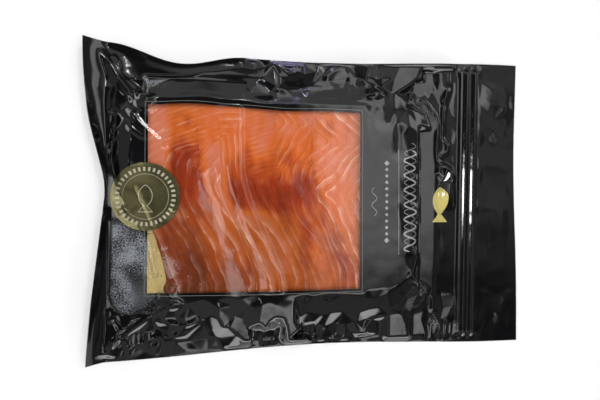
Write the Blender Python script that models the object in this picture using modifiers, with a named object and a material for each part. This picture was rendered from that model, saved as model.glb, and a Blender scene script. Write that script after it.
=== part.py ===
"""Vacuum pack of sliced smoked salmon, lying on its back film.

A black printed pouch with a clear window holds a gold card with seven
shingled slices on it. A press-to-close strip crosses the right end, and a
round seal sticker lies over the window's left edge.

Sizes below are millimetres. +X runs along the pouch towards the strip, +Y
across it, +Z up. The origin is under the middle of the pouch, on the
surface that it lies on.
"""

import math

import bmesh
import bpy
import numpy as np

MM = 0.001

# Pouch: two films, sealed at their edges.
POUCH_LENGTH = 270.0
POUCH_WIDTH = 180.0
FILM = 0.3
GAP = 0.3
FRONT_REST = FILM + GAP          # underside of the front film where it lies flat

# Card under the fish.
CARD_LENGTH = 197.0
CARD_WIDTH = 134.0
CARD_THICK = 1.2
CARD_CORNER = 14.0
CARD_CENTRE = (-22.2, -0.2)
CARD_TURN = math.radians(-1.2)
CARD_TOP = FRONT_REST + CARD_THICK

# Window in the printed film.
WINDOW_LEFT = -100.2
WINDOW_RIGHT = 23.3
WINDOW_BOTTOM = -52.2
WINDOW_TOP = 53.3

# Slices, as (first, last) place along the row, before the row is sheared.
SLICE_EDGES = ((-110, -60), (-90, -40), (-70, -25), (-55, 0), (-25, 25), (-5, 50), (25, 60))
SLICE_THICK = 2.7
SLICE_STEP = 5.0
SLICE_ROWS = 12
SLICE_TAPER = 8.0
SLICE_DRAPE = 7.0
FISH_BOTTOM = -58.0
FISH_TOP = 59.0
LEAN = 24.0                      # how far the slices' lower ends lean to the right
SHOULDER = 9.0                   # how far the film spans from the fish down to the card
FILM_SPAN = 6.5                  # the film bridges dips in the fish narrower than twice this

# Press-to-close strip.
STRIP_RIDGES = (97.05, 102.7)
STRIP_EDGES = (93.6, 106.2)
STRIP_BASE = 0.4
STRIP_RIDGE = 1.0
STRIP_REACH = 82.0
STRIP_LEAN = 1.75

# Left seal, which the vacuum has drawn in and turned up.
TURN_UP_FROM = -121.9
TURN_UP = 9.0

# Round sticker.
STICKER_CENTRE = (-101.5, 2.1)
STICKER_RADIUS = 19.0
STICKER_THICK = 0.3
STICKER_LIFT = 0.85              # from the film's underside to the sticker's


# ------------------------------------------------------------------ formulas

def smooth(low, high, value):
    """Rise from 0 at low to 1 at high with level ends."""
    t = np.clip((value - low) / (high - low), 0.0, 1.0)
    return t * t * (3.0 - 2.0 * t)


def hump(value, centre, reach):
    """Squared cosine: 1 at the centre, 0 at the reach on either side."""
    t = np.clip(np.abs(value - centre) / reach, 0.0, 1.0)
    return np.cos(0.5 * math.pi * t) ** 2


def left_draw(y):
    """How far the left edge is drawn in, most a little below the middle."""
    reach = np.where(y > -4.0, 75.0, 86.0)
    return 11.2 * hump(y, -4.0, reach)


def right_draw(y):
    return 2.0 * hump(y, 25.0, 90.0)


def top_draw(x):
    """Shallow sweep of the top edge, with a deeper dip by the left corner."""
    return 6.3 * hump(x, -20.0, 155.0) + 8.0 * hump(x, -83.0, 38.0)


def bottom_draw(x):
    return 4.3 * hump(x, 0.0, 135.0)


def card_inside(x, y):
    """Distance inside the card's rounded outline, negative outside."""
    cos, sin = math.cos(CARD_TURN), math.sin(CARD_TURN)
    dx = x - CARD_CENTRE[0]
    dy = y - CARD_CENTRE[1]
    along = np.abs(dx * cos + dy * sin) - CARD_LENGTH / 2 + CARD_CORNER
    across = np.abs(dy * cos - dx * sin) - CARD_WIDTH / 2 + CARD_CORNER
    outside = np.hypot(np.maximum(along, 0.0), np.maximum(across, 0.0))
    return CARD_CORNER - outside - np.minimum(np.maximum(along, across), 0.0)


def lean(row, y):
    """Shear of the row of slices: none above the middle, most at the lower
    left, fading out towards the right end."""
    return LEAN * smooth(22.0, -53.0, y) * (1.0 - smooth(-40.0, 60.0, row))


def row_place(x, y):
    """Place along the unsheared row under the point x, y."""
    row = x
    for _ in range(14):
        row = x - lean(row, y)
    return row


def slice_thickness(edges, row, y):
    """Thickness of one slice, tapered towards its edges and its ends."""
    side = np.minimum(row - edges[0], edges[1] - row)
    end = np.minimum(y - FISH_BOTTOM, FISH_TOP - y)
    taper = 0.4 + 0.6 * smooth(0.0, SLICE_TAPER, side)
    return SLICE_THICK * taper * (0.55 + 0.45 * smooth(0.0, SLICE_TAPER, end))


def slice_underside(index, row, y):
    """Height of a slice's underside: it lies on the card and drapes over the
    slices that were laid before it."""
    height = np.full(np.shape(row), CARD_TOP + GAP)
    for edges in SLICE_EDGES[:index]:
        held = np.clip(row, edges[0], edges[1])
        over = smooth(edges[1] + SLICE_DRAPE, edges[1], row)
        height = height + (slice_thickness(edges, held, y) + GAP) * over
    return height


def fish_top(row, y):
    """Height of the pile's upper surface."""
    top = np.full(np.shape(row), CARD_TOP)
    for index, edges in enumerate(SLICE_EDGES):
        inside = (row >= edges[0]) & (row <= edges[1])
        held = np.clip(row, edges[0], edges[1])
        surface = slice_underside(index, held, y) + slice_thickness(edges, held, y)
        top = np.where(inside, np.maximum(top, surface), top)
    return top


def film_over_fish(x, y):
    """Height that the fish lifts the front film to: the highest fish within
    one mesh cell, falling away over the shoulder around the pile."""
    row = row_place(x, y)
    first, last = SLICE_EDGES[0][0], SLICE_EDGES[-1][1]
    offsets = np.linspace(-FILM_SPAN, FILM_SPAN, 5)
    highest = np.full(np.shape(x), CARD_TOP)
    for along in offsets:
        for across in offsets:
            near_row = np.clip(row + along, first, last)
            near_y = np.clip(y + across, FISH_BOTTOM, FISH_TOP)
            highest = np.maximum(highest, fish_top(near_row, near_y))
    inside = np.minimum(np.minimum(row - first, last - row), np.minimum(y - FISH_BOTTOM, FISH_TOP - y))
    fall = smooth(-SHOULDER, 0.0, inside)
    return (highest + GAP + 0.1 - FRONT_REST) * fall


def fold(x, y, start, end, height, width):
    """A soft straight ridge in the film from start to end."""
    run = (end[0] - start[0], end[1] - start[1])
    length = math.hypot(*run)
    along = ((x - start[0]) * run[0] + (y - start[1]) * run[1]) / length ** 2
    across = ((x - start[0]) * run[1] - (y - start[1]) * run[0]) / length
    return height * np.exp(-(across / width) ** 2) * smooth(-0.15, 0.15, along) * smooth(1.2, 0.85, along)


def front_rise(x, y, edge_room):
    """How far the front film stands above where it would lie flat."""
    card = (CARD_TOP + GAP - FRONT_REST) * smooth(-11.0, -3.5, card_inside(x, y))
    rise = np.maximum(card, film_over_fish(x, y))
    rise = rise + fold(x, y, (-127.0, 86.0), (-100.0, 56.0), 3.4, 4.5)
    rise = rise + fold(x, y, (-114.0, -84.0), (-88.0, -56.0), 2.0, 4.5)
    strip = (STRIP_BASE + GAP) * smooth(88.0, 93.0, x) * smooth(111.0, 107.0, x)
    return np.maximum(rise, strip) * edge_room


# ---------------------------------------------------------------- film grids

def even(start, end, cells):
    """Grid lines from start up to, but not including, end."""
    return list(np.linspace(start, end, cells, endpoint=False))


def film_columns():
    """Grid lines along X: turned-up seal, window, card's end, strip, flap."""
    ridge_foot = 2.2
    first, second = STRIP_RIDGES
    lines = even(-POUCH_LENGTH / 2, TURN_UP_FROM, 4)
    lines += even(TURN_UP_FROM, WINDOW_LEFT, 4)
    lines += even(WINDOW_LEFT, WINDOW_RIGHT, 14)
    lines += even(WINDOW_RIGHT, 60.0, 4)
    lines += even(60.0, 90.0, 4)
    lines += [90.0, first - ridge_foot, first, first + ridge_foot]
    lines += [second - ridge_foot, second, second + ridge_foot]
    lines += even(110.0, POUCH_LENGTH / 2, 3) + [POUCH_LENGTH / 2]
    return np.array(lines)


def film_rows():
    """Grid lines along Y: lower edge, window, upper edge."""
    lines = even(-POUCH_WIDTH / 2, -77.0, 2) + even(-77.0, WINDOW_BOTTOM, 3)
    lines += even(WINDOW_BOTTOM, WINDOW_TOP, 12)
    lines += even(WINDOW_TOP, 66.0, 2) + even(66.0, POUCH_WIDTH / 2, 4) + [POUCH_WIDTH / 2]
    return np.array(lines)


def seal_surface(column, row):
    """Underside of the back film. The edges are drawn in, the left seal is
    turned up, and the strip's lines lean a little."""
    half_length, half_width = POUCH_LENGTH / 2, POUCH_WIDTH / 2
    turn = np.clip((TURN_UP_FROM - column) / (TURN_UP_FROM + half_length), 0.0, 1.0)
    x = column + left_draw(row) * turn
    x = x - right_draw(row) * smooth(108.0, half_length, column)
    lean_share = smooth(75.0, 92.0, column) * smooth(128.0, 107.0, column)
    x = x + STRIP_LEAN * row / half_width * lean_share
    up = np.clip((row - 66.0) / (half_width - 66.0), 0.0, 1.0)
    down = np.clip((-66.0 - row) / (half_width - 66.0), 0.0, 1.0)
    y = row - top_draw(column) * up + bottom_draw(column) * down
    z = TURN_UP * turn ** 1.5
    return np.stack([x, y, z], axis=-1)


def upward(grid):
    """Unit normals of a grid of points, pointing up."""
    along = np.gradient(grid, axis=0)
    across = np.gradient(grid, axis=1)
    normal = np.cross(along, across)
    return normal / np.linalg.norm(normal, axis=-1, keepdims=True)


def front_surface(column, row):
    """Underside of the front film: the seal surface, moved off the back film
    and raised over the strip, the card and the fish."""
    base = seal_surface(column, row)
    turn = np.clip((TURN_UP_FROM - column) / (TURN_UP_FROM + POUCH_LENGTH / 2), 0.0, 1.0)
    room = np.minimum(POUCH_WIDTH / 2 - np.abs(row), POUCH_LENGTH / 2 - column)
    edge_room = smooth(0.0, 6.0, room) * (1.0 - turn) ** 1.5
    ridge = np.isin(column, STRIP_RIDGES) * (STRIP_RIDGE + GAP) * edge_room
    points = base + upward(base) * FRONT_REST
    points[..., 2] += front_rise(base[..., 0], base[..., 1], edge_room) + ridge
    return points


# -------------------------------------------------------------------- makers

def material(name, colour, roughness, metallic=0.0, alpha=1.0):
    made = bpy.data.materials.new(name)
    made.use_nodes = True
    shader = made.node_tree.nodes["Principled BSDF"]
    shader.inputs["Base Color"].default_value = (*colour, 1.0)
    shader.inputs["Roughness"].default_value = roughness
    shader.inputs["Metallic"].default_value = metallic
    shader.inputs["Alpha"].default_value = alpha
    return made


def new_object(name, bm, collection, finish):
    """Turn a bmesh in millimetres into an object in metres."""
    bmesh.ops.scale(bm, vec=(MM, MM, MM), verts=bm.verts)
    mesh = bpy.data.meshes.new(name)
    bm.to_mesh(mesh)
    bm.free()
    mesh.shade_smooth()
    mesh.set_sharp_from_angle(angle=math.radians(40.0))
    mesh.materials.append(finish)
    made = bpy.data.objects.new(name, mesh)
    collection.objects.link(made)
    return made


def grid_mesh(points):
    """A bmesh grid with its vertices moved to the given points. Every grid is
    split along the same diagonals, so layers that share a grid stay apart."""
    cells_x, cells_y = points.shape[0] - 1, points.shape[1] - 1
    bm = bmesh.new()
    bmesh.ops.create_grid(bm, x_segments=cells_x, y_segments=cells_y, size=0.5)
    for vert in bm.verts:
        column = round((vert.co.x + 0.5) * cells_x)
        row = round((vert.co.y + 0.5) * cells_y)
        vert.co = points[column, row]
    bmesh.ops.triangulate(bm, faces=bm.faces[:], quad_method="FIXED")
    return bm


def thicken(made, thickness):
    """Solidify an open sheet upwards, keeping its underside."""
    wall = made.modifiers.new("wall", "SOLIDIFY")
    wall.thickness = thickness * MM
    wall.offset = 1.0
    return wall


def in_window(x, y, margin):
    inside_x = WINDOW_LEFT - margin < x < WINDOW_RIGHT + margin
    return inside_x and WINDOW_BOTTOM - margin < y < WINDOW_TOP + margin


def build_back_film(collection, finish):
    """Back film: flat under the card, turned up with the left seal."""
    columns = film_columns()
    few = np.concatenate([columns[:14], even(-35.0, 105.0, 4), columns[-4:]])
    column, row = np.meshgrid(few, film_rows(), indexing="ij")
    made = new_object("back_film", grid_mesh(seal_surface(column, row)), collection, finish)
    thicken(made, FILM)


def build_front_films(collection, printed, clear):
    """Printed front film with its window opening, and the clear window."""
    column, row = np.meshgrid(film_columns(), film_rows(), indexing="ij")
    points = front_surface(column, row)
    bm = grid_mesh(points)
    hole = [face for face in bm.faces if in_window(*face.calc_center_median()[:2], 0.0)]
    bmesh.ops.delete(bm, geom=hole, context="FACES")
    thicken(new_object("front_film", bm, collection, printed), FILM)

    in_columns = (film_columns() > WINDOW_LEFT - 1) & (film_columns() < WINDOW_RIGHT + 1)
    in_rows = (film_rows() > WINDOW_BOTTOM - 1) & (film_rows() < WINDOW_TOP + 1)
    pane = points[np.ix_(in_columns, in_rows)].copy()
    for edge, inner, step in ((0, 1, GAP), (-1, -2, GAP)):
        share_x = step / abs(pane[edge, 0, 0] - pane[inner, 0, 0])
        pane[edge] += (pane[inner] - pane[edge]) * share_x
    for edge, inner, step in ((0, 1, GAP), (-1, -2, GAP)):
        share_y = step / abs(pane[0, edge, 1] - pane[0, inner, 1])
        pane[:, edge] += (pane[:, inner] - pane[:, edge]) * share_y
    thicken(new_object("window_film", grid_mesh(pane), collection, clear), FILM)


def build_card(collection, finish):
    """Card with rounded corners."""
    bm = bmesh.new()
    bmesh.ops.create_cube(bm, size=1.0)
    bmesh.ops.scale(bm, vec=(CARD_LENGTH, CARD_WIDTH, CARD_THICK), verts=bm.verts)
    upright = [edge for edge in bm.edges if abs(edge.verts[0].co.z - edge.verts[1].co.z) > 0.1]
    bmesh.ops.bevel(bm, geom=upright, offset=CARD_CORNER, segments=7, profile=0.5, affect="EDGES")
    made = new_object("board", bm, collection, finish)
    made.location = (CARD_CENTRE[0] * MM, CARD_CENTRE[1] * MM, (FRONT_REST + CARD_THICK / 2) * MM)
    made.rotation_euler = (0.0, 0.0, CARD_TURN)


def build_slices(collection, finish):
    """Seven slices, each laid half over the one before it."""
    for index, edges in enumerate(SLICE_EDGES):
        cells = round((edges[1] - edges[0]) / SLICE_STEP)
        places = np.linspace(edges[0], edges[1], cells + 1)
        across = np.linspace(FISH_BOTTOM, FISH_TOP, SLICE_ROWS + 1)
        row, y = np.meshgrid(places, across, indexing="ij")
        under = slice_underside(index, row, y)
        over = under + slice_thickness(edges, row, y)
        x = row + lean(row, y)
        bm = grid_mesh(np.stack([x, y, under], axis=-1))
        order = [(vert, over_height(vert, x, y, over)) for vert in bm.verts]
        heights = {(round(v.co.x, 4), round(v.co.y, 4)): top for v, top in order}
        raised = bmesh.ops.extrude_face_region(bm, geom=bm.faces[:])
        for item in raised["geom"]:
            if isinstance(item, bmesh.types.BMVert):
                item.co.z = heights[(round(item.co.x, 4), round(item.co.y, 4))]
        bmesh.ops.recalc_face_normals(bm, faces=bm.faces[:])
        new_object(f"salmon_slice_{index + 1}", bm, collection, finish)


def over_height(vert, x, y, over):
    """Upper height at the grid point where this vertex stands."""
    nearest = np.argmin((x - vert.co.x) ** 2 + (y - vert.co.y) ** 2)
    return float(over.flat[nearest])


def build_strip(collection, finish):
    """Press-to-close strip: a flat band with two blunt ridges."""
    profile = [(STRIP_EDGES[0], 0.0)]
    for middle in STRIP_RIDGES:
        profile += [(middle - 1.2, 0.0), (middle - 0.45, STRIP_RIDGE)]
        profile += [(middle + 0.45, STRIP_RIDGE), (middle + 1.2, 0.0)]
    profile.append((STRIP_EDGES[1], 0.0))
    across = np.linspace(-STRIP_REACH, STRIP_REACH, 5)
    place = np.array([point[0] for point in profile])
    height = np.array([point[1] for point in profile])
    x = place[:, None] + STRIP_LEAN * across[None, :] / (POUCH_WIDTH / 2)
    z = np.broadcast_to(FRONT_REST + STRIP_BASE + height[:, None], x.shape)
    y = np.broadcast_to(across[None, :], x.shape)
    bm = grid_mesh(np.stack([x, y, z], axis=-1))
    raised = bmesh.ops.extrude_face_region(bm, geom=bm.faces[:])
    for item in raised["geom"]:
        if isinstance(item, bmesh.types.BMVert):
            item.co.z = FRONT_REST
    bmesh.ops.recalc_face_normals(bm, faces=bm.faces[:])
    new_object("zip_strip", bm, collection, finish)


def build_sticker(collection, cutters, finish):
    """Round sticker: a patch of film surface, lifted, cut to a disc."""
    column, row = np.meshgrid(film_columns(), film_rows(), indexing="ij")
    points = front_surface(column, row)
    near_x = np.abs(film_columns() - STICKER_CENTRE[0]) < STICKER_RADIUS + 9.0
    near_y = np.abs(film_rows() - STICKER_CENTRE[1]) < STICKER_RADIUS + 9.0
    near_x &= film_columns() > TURN_UP_FROM - 0.5
    patch = points[np.ix_(near_x, near_y)] + np.array([0.0, 0.0, STICKER_LIFT])
    made = new_object("sticker", grid_mesh(patch), collection, finish)
    thicken(made, STICKER_THICK)
    bm = bmesh.new()
    bmesh.ops.create_cone(bm, cap_ends=True, segments=40, radius1=STICKER_RADIUS,
                          radius2=STICKER_RADIUS, depth=60.0)
    disc = new_object("sticker_cutter", bm, cutters, finish)
    disc.location = (STICKER_CENTRE[0] * MM, STICKER_CENTRE[1] * MM, 0.0)
    disc.hide_render = True
    disc.display_type = "WIRE"
    cut = made.modifiers.new("round", "BOOLEAN")
    cut.operation = "INTERSECT"
    cut.object = disc


def main():
    for old in list(bpy.data.objects):
        bpy.data.objects.remove(old, do_unlink=True)
    pack = bpy.data.collections.new("smoked_salmon_pack")
    cutters = bpy.data.collections.new("cutters")
    bpy.context.scene.collection.children.link(pack)
    bpy.context.scene.collection.children.link(cutters)

    black_film = material("black_film", (0.012, 0.012, 0.014), 0.18)
    clear_film = material("clear_film", (0.9, 0.9, 0.9), 0.05, alpha=0.2)
    gold_card = material("gold_card", (0.62, 0.5, 0.22), 0.3, metallic=0.8)
    salmon = material("salmon", (0.48, 0.11, 0.035), 0.3)
    strip_plastic = material("strip_plastic", (0.02, 0.02, 0.022), 0.3)
    seal_foil = material("seal_foil", (0.13, 0.1, 0.05), 0.3, metallic=0.7)

    build_back_film(pack, black_film)
    build_card(pack, gold_card)
    build_slices(pack, salmon)
    build_strip(pack, strip_plastic)
    build_front_films(pack, black_film, clear_film)
    build_sticker(pack, cutters, seal_foil)


main()
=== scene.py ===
"""Looks of a vacuum pack of smoked salmon.

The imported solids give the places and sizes. This script lays fine surfaces
over them: the black printed film with its folds, the clear window, the
back film, seven fish slices with their fat lines, and the round seal. The
gold card and the press-to-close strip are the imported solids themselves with
a finish.

Formulas work in millimetres, in the pack's own frame: +X towards the strip,
+Y across, +Z up out of the shown face.
"""

import math

import bpy
import numpy as np
from bpy.props import FloatProperty, FloatVectorProperty, IntProperty, PointerProperty
from mathutils import Matrix, Vector, geometry


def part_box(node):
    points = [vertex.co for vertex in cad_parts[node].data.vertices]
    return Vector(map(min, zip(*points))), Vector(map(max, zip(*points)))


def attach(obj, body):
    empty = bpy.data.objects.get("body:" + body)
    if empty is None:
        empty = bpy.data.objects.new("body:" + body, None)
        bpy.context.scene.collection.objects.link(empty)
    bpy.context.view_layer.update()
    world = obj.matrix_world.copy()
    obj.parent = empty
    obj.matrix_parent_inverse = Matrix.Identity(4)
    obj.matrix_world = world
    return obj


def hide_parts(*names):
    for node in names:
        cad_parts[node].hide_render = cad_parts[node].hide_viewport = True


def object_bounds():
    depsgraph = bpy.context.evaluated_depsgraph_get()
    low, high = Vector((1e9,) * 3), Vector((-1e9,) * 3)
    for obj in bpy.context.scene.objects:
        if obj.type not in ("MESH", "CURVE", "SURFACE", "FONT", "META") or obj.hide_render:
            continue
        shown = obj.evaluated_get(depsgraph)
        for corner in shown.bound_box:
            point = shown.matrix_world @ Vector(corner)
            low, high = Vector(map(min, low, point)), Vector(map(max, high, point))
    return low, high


bl_info = {
    "name": "Smoked Salmon Pack",
    "version": (1, 0, 0),
    "blender": (4, 5, 0),
    "location": "3D View > Sidebar > Salmon Pack",
    "description": "Builds the film, fish, card and seal of a vacuum pack",
    "category": "Object",
}

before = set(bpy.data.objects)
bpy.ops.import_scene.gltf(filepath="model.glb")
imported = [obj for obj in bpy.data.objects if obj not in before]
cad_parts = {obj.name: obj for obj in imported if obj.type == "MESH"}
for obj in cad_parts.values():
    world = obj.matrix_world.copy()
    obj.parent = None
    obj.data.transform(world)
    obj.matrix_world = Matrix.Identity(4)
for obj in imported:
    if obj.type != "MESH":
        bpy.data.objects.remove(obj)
CAD_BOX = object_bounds()
MM = 0.001


def node_box(name):
    """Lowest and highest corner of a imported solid, in millimetres."""
    low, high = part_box(name)
    return np.array(low) / MM, np.array(high) / MM


# The laminate, and the air left between one layer and the next.
BACK_THICK = 0.2
FRONT_THICK = 0.2
SKIM = 0.02
SOLID_GAP = 0.3

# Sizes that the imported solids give.
POUCH_HIGH = node_box("back_film")[1]
HALF_LENGTH = POUCH_HIGH[0]
HALF_WIDTH = POUCH_HIGH[1]
TURN_UP = POUCH_HIGH[2] - BACK_THICK
CARD_TOP = node_box("board")[1][2]
PANE_LOW, PANE_HIGH = node_box("window_film")
WINDOW = (PANE_LOW[0] - SOLID_GAP, PANE_LOW[1] - SOLID_GAP,
          PANE_HIGH[0] + SOLID_GAP, PANE_HIGH[1] + SOLID_GAP)
SEAL_LOW, SEAL_HIGH = node_box("sticker")
SEAL_CENTRE = (SEAL_LOW[:2] + SEAL_HIGH[:2]) / 2
SEAL_RADIUS = (SEAL_HIGH[0] - SEAL_LOW[0]) / 2
SLICE_COUNT = sum(name.startswith("salmon_slice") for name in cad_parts)
FILM_TOP = CAD_BOX[1][2] / MM - FRONT_THICK - 3 * SKIM

# Card under the fish: sides, corner radius, centre and turn.
CARD_SIZE = (197.0, 134.0)
CARD_CORNER = 14.0
CARD_CENTRE = (-22.2, -0.2)
CARD_TURN = math.radians(-1.2)

# Slices: first and last place of each along the row before the row is sheared,
# their thickness, the air between two, the taper at their sides, the reach of
# their drape over the slice before, the pile's ends and how far it leans.
SLICE_EDGES = ((-110, -60), (-91, -40), (-72, -25), (-61, 0), (-27, 25), (-5, 50), (25, 60))
SLICE_THICK = 2.8
SLICE_GAP = 0.12
SLICE_TAPER = 13.0
SLICE_DRAPE = 15.0
FISH_BOTTOM = -58.0
FISH_TOP = 59.0
LEAN = 24.0

# Front film: share of the fish's height that it keeps at a distance outside
# the pile, and its height over the pile at a place along the row.
FALL_PROFILE = ((0.0, 1.0), (13.0, 0.5), (21.0, 0.0))
FILM_LEVEL = ((-112, 6.7), (-92, 7.9), (-72, 9.9), (-58, 10.6),
              (-45, 10.55), (0, 9.9), (40, 9.4), (62, 8.9))

# Edges: how far the left one is drawn in at each y, where its seal starts to
# turn up, and the width of the flat seals.
LEFT_DRAW = ((-90, 2.4), (-60, 4.7), (8, 12.6), (30, 7.0), (45, 2.9), (66, 0.8), (80, 0.0))
TURN_UP_FROM = -121.9
SEAL_WIDTH = 8.5
DRAW_FROM = 66.0

# Press-to-close strip: x of its ridges, height of the film over its base and
# over a ridge, slope of a ridge's sides, and how far it leans at its ends.
STRIP_RIDGES = (97.05, 102.7)
STRIP_FLAT = 1.0
STRIP_CREST = 2.25
RIDGE_SLOPE = 0.56
STRIP_LEAN = 1.75

# Seal: thickness, air under it, and the corners of its rim.
SEAL_THICK = 0.15
SEAL_AIR = 0.07
SEAL_CORNERS = 144

# Grid step of the back film, which has no fine folds.
BACK_STEP = 1.8

# Net of creases: distance between its corners, and the places whose mean
# height rounds its edges off.
NET_PITCH = 7.5
ROUNDING = ((0.0, 0.0), (0.5, 0.0), (-0.5, 0.0), (0.0, 0.5), (0.0, -0.5))


# ------------------------------------------------------------------ settings

def linear(code):
    """Linear colour of an sRGB hex code such as d6c78c."""
    values = [int(code[place:place + 2], 16) / 255.0 for place in (0, 2, 4)]
    return tuple(v / 12.92 if v <= 0.04045 else ((v + 0.055) / 1.055) ** 2.4 for v in values)


def colour_prop(name, code, description):
    """Colour setting with an sRGB hex code as its default."""
    return FloatVectorProperty(name=name, description=description, default=linear(code),
                               size=3, min=0.0, max=1.0, subtype="COLOR")


def length_prop(name, default, low, high, description):
    """Length setting, given in millimetres and kept in metres."""
    return FloatProperty(name=name, description=description, default=default * MM, min=low * MM,
                         max=high * MM, precision=5, unit="LENGTH")


class FilmSettings(bpy.types.PropertyGroup):
    """Printed black film and its grid"""
    black: colour_prop("Black film", "070709", "Printed black of both films")
    ink: colour_prop("Grey print", "8f8f8c", "Rules and ornament on the film")
    gold_ink: colour_prop("Gold print", "b8ab66", "Fish mark on the film")
    line: colour_prop("Window line", "5f5e56", "Thin line around the window")
    # painted glint: light grey painted into the film's colour where the card's grain shows, standing in for
    # its glints
    painted_glint_speck: colour_prop("Specks", "8f939b", "Glint of the card's grain through the film")
    step: length_prop("Grid step", 0.75, 0.3, 3.0, "Distance between film vertices in the folds")
    crumple: length_prop("Crumple", 0.45, 0.0, 3.0, "Height of the creases")


class FishSettings(bpy.types.PropertyGroup):
    """Colours of the fish and its grid"""
    pale: colour_prop("Pale flesh", "ea8c6c", "Thick pale parts of a slice")
    orange: colour_prop("Orange flesh", "ea7a2e", "Ordinary cured flesh")
    red: colour_prop("Red flesh", "b03e18", "Overlapping slices and dark muscle")
    brown: colour_prop("Brown flesh", "742a0a", "Deepest colour")
    # tan: the dull brown that each slice is darkened towards, most at its lower end
    tan: colour_prop("Cured surface", "6b3a1a", "Browned lower part of the slices")
    fat: colour_prop("Fat line", "ffd6bd", "Connective tissue between muscles")
    step: length_prop("Grid step", 0.7, 0.3, 3.0, "Distance between fish vertices")


class CardSettings(bpy.types.PropertyGroup):
    """Gold card under the fish"""
    gold: colour_prop("Gold", "dcc583", "Metallised face of the card")
    grain: length_prop("Grain", 1.3, 0.3, 5.0, "Size of the leather grain")


class SealSettings(bpy.types.PropertyGroup):
    """Round foil seal"""
    foil: colour_prop("Foil", "77714f", "Olive gold foil of the seal")
    print_colour: colour_prop("Foil print", "b9b5a2", "Rings and fish on the seal")
    rings: IntProperty(name="Rings", description="Mesh rings from centre to rim", default=34, min=8)


class StageSettings(bpy.types.PropertyGroup):
    """Floor, room and camera"""
    lens: FloatProperty(name="Lens", description="Focal length", default=37.2, min=10.0, unit="CAMERA")
    floor: colour_prop("Floor", "f8f8f8", "Plain pale floor")
    room: FloatProperty(name="Room light", description="Strength of the surrounding studio",
                        default=1.0, min=0.0)


SETTINGS = {"pack_film": FilmSettings, "pack_fish": FishSettings, "pack_card": CardSettings,
            "pack_seal": SealSettings, "pack_stage": StageSettings}


# ------------------------------------------------------------------ formulas

def smooth(low, high, value):
    """Rise from 0 at low to 1 at high with level ends."""
    t = np.clip((value - low) / (high - low), 0.0, 1.0)
    return t * t * (3.0 - 2.0 * t)


def hump(value, centre, reach):
    """Squared cosine: 1 at the centre, 0 at the reach on either side."""
    t = np.clip(np.abs(value - centre) / reach, 0.0, 1.0)
    return np.cos(0.5 * math.pi * t) ** 2


def curve_through(points, value, rounding):
    """Straight runs between points, rounded by averaging nearby values."""
    places, heights = zip(*points)
    offsets = (-rounding, -0.4 * rounding, 0.4 * rounding, rounding)
    return sum(np.interp(value + offset, places, heights) for offset in offsets) / 4.0


def noise(x, y, size, seed):
    """Gradient noise from -1 to 1: each lattice corner pushes along its own
    random direction, and the four pushes blend with a smooth step."""
    angle = np.random.default_rng(seed).random((64, 64)) * 2.0 * math.pi
    u, v = x / size, y / size
    i, j = np.floor(u).astype(int), np.floor(v).astype(int)
    u, v = u - i, v - j
    fade_u, fade_v = smooth(0.0, 1.0, u), smooth(0.0, 1.0, v)

    def corner(di, dj):
        turn = angle[(i + di) % 64, (j + dj) % 64]
        return np.cos(turn) * (u - di) + np.sin(turn) * (v - dj)

    low = corner(0, 0) * (1 - fade_u) + corner(1, 0) * fade_u
    high = corner(0, 1) * (1 - fade_u) + corner(1, 1) * fade_u
    return 1.5 * (low * (1 - fade_v) + high * fade_v)


def distance_to(x, y, path):
    """Distance to the nearest point of a path of straight runs."""
    nearest = np.full(np.shape(x), 1e3)
    for (x0, y0), (x1, y1) in zip(path, path[1:]):
        run_x, run_y = x1 - x0, y1 - y0
        along = np.clip(((x - x0) * run_x + (y - y0) * run_y) / (run_x ** 2 + run_y ** 2), 0.0, 1.0)
        nearest = np.minimum(nearest, np.hypot(x - x0 - along * run_x, y - y0 - along * run_y))
    return nearest


def crease(x, y, path, height, width):
    """Ridge along a path of points: highest on the path, falling off with the
    distance from it, with a slightly rounded crest."""
    nearest = distance_to(x, y, path)
    crest = 0.4 * width
    return height * np.exp(-(np.hypot(nearest, crest) - crest) / width)


def blister(x, y, centre, reach, turn, height):
    """Flat-topped oval bump, reach being its half length and half width."""
    cos, sin = math.cos(turn), math.sin(turn)
    u = ((x - centre[0]) * cos + (y - centre[1]) * sin) / reach[0]
    v = ((y - centre[1]) * cos - (x - centre[0]) * sin) / reach[1]
    return height * np.exp(-(u * u + v * v) ** 2.2)


def left_draw(y):
    """How far the left edge is drawn in: nearly straight up to the sticker,
    and back out above it."""
    return curve_through(LEFT_DRAW, y, 6.0)


def right_draw(y):
    """How far the right edge is drawn in, most above its middle."""
    return 2.0 * hump(y, 25.0, 90.0)


def top_draw(x):
    """How far the top edge is drawn in: a long sweep, and a dip at the left."""
    return 6.3 * hump(x, -20.0, 155.0) + 7.2 * hump(x, -83.0, 38.0)


def bottom_draw(x):
    """How far the bottom edge is drawn in, most in the middle."""
    return 4.3 * hump(x, 0.0, 135.0)


def card_inside(x, y):
    """Distance inside the card's rounded outline, negative outside."""
    cos, sin = math.cos(CARD_TURN), math.sin(CARD_TURN)
    dx, dy = x - CARD_CENTRE[0], y - CARD_CENTRE[1]
    along = np.abs(dx * cos + dy * sin) - CARD_SIZE[0] / 2 + CARD_CORNER
    across = np.abs(dy * cos - dx * sin) - CARD_SIZE[1] / 2 + CARD_CORNER
    outside = np.hypot(np.maximum(along, 0.0), np.maximum(across, 0.0))
    return CARD_CORNER - outside - np.minimum(np.maximum(along, across), 0.0)


def lean(row, y):
    """Shear of the row of slices, growing towards the lower left."""
    return LEAN * smooth(22.0, -53.0, y) * (1.0 - smooth(-40.0, 60.0, row))


def row_place(x, y):
    """Place along the unsheared row under the point x, y, by repeated steps."""
    row = x
    for _ in range(14):
        row = x - lean(row, y)
    return row


def fish_ends(row):
    """Lower and upper end of the pile, drawn in at its two right corners."""
    corner = smooth(34.0, 62.0, row) ** 2
    return FISH_BOTTOM + 13.0 * corner, FISH_TOP - 12.0 * corner


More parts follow.
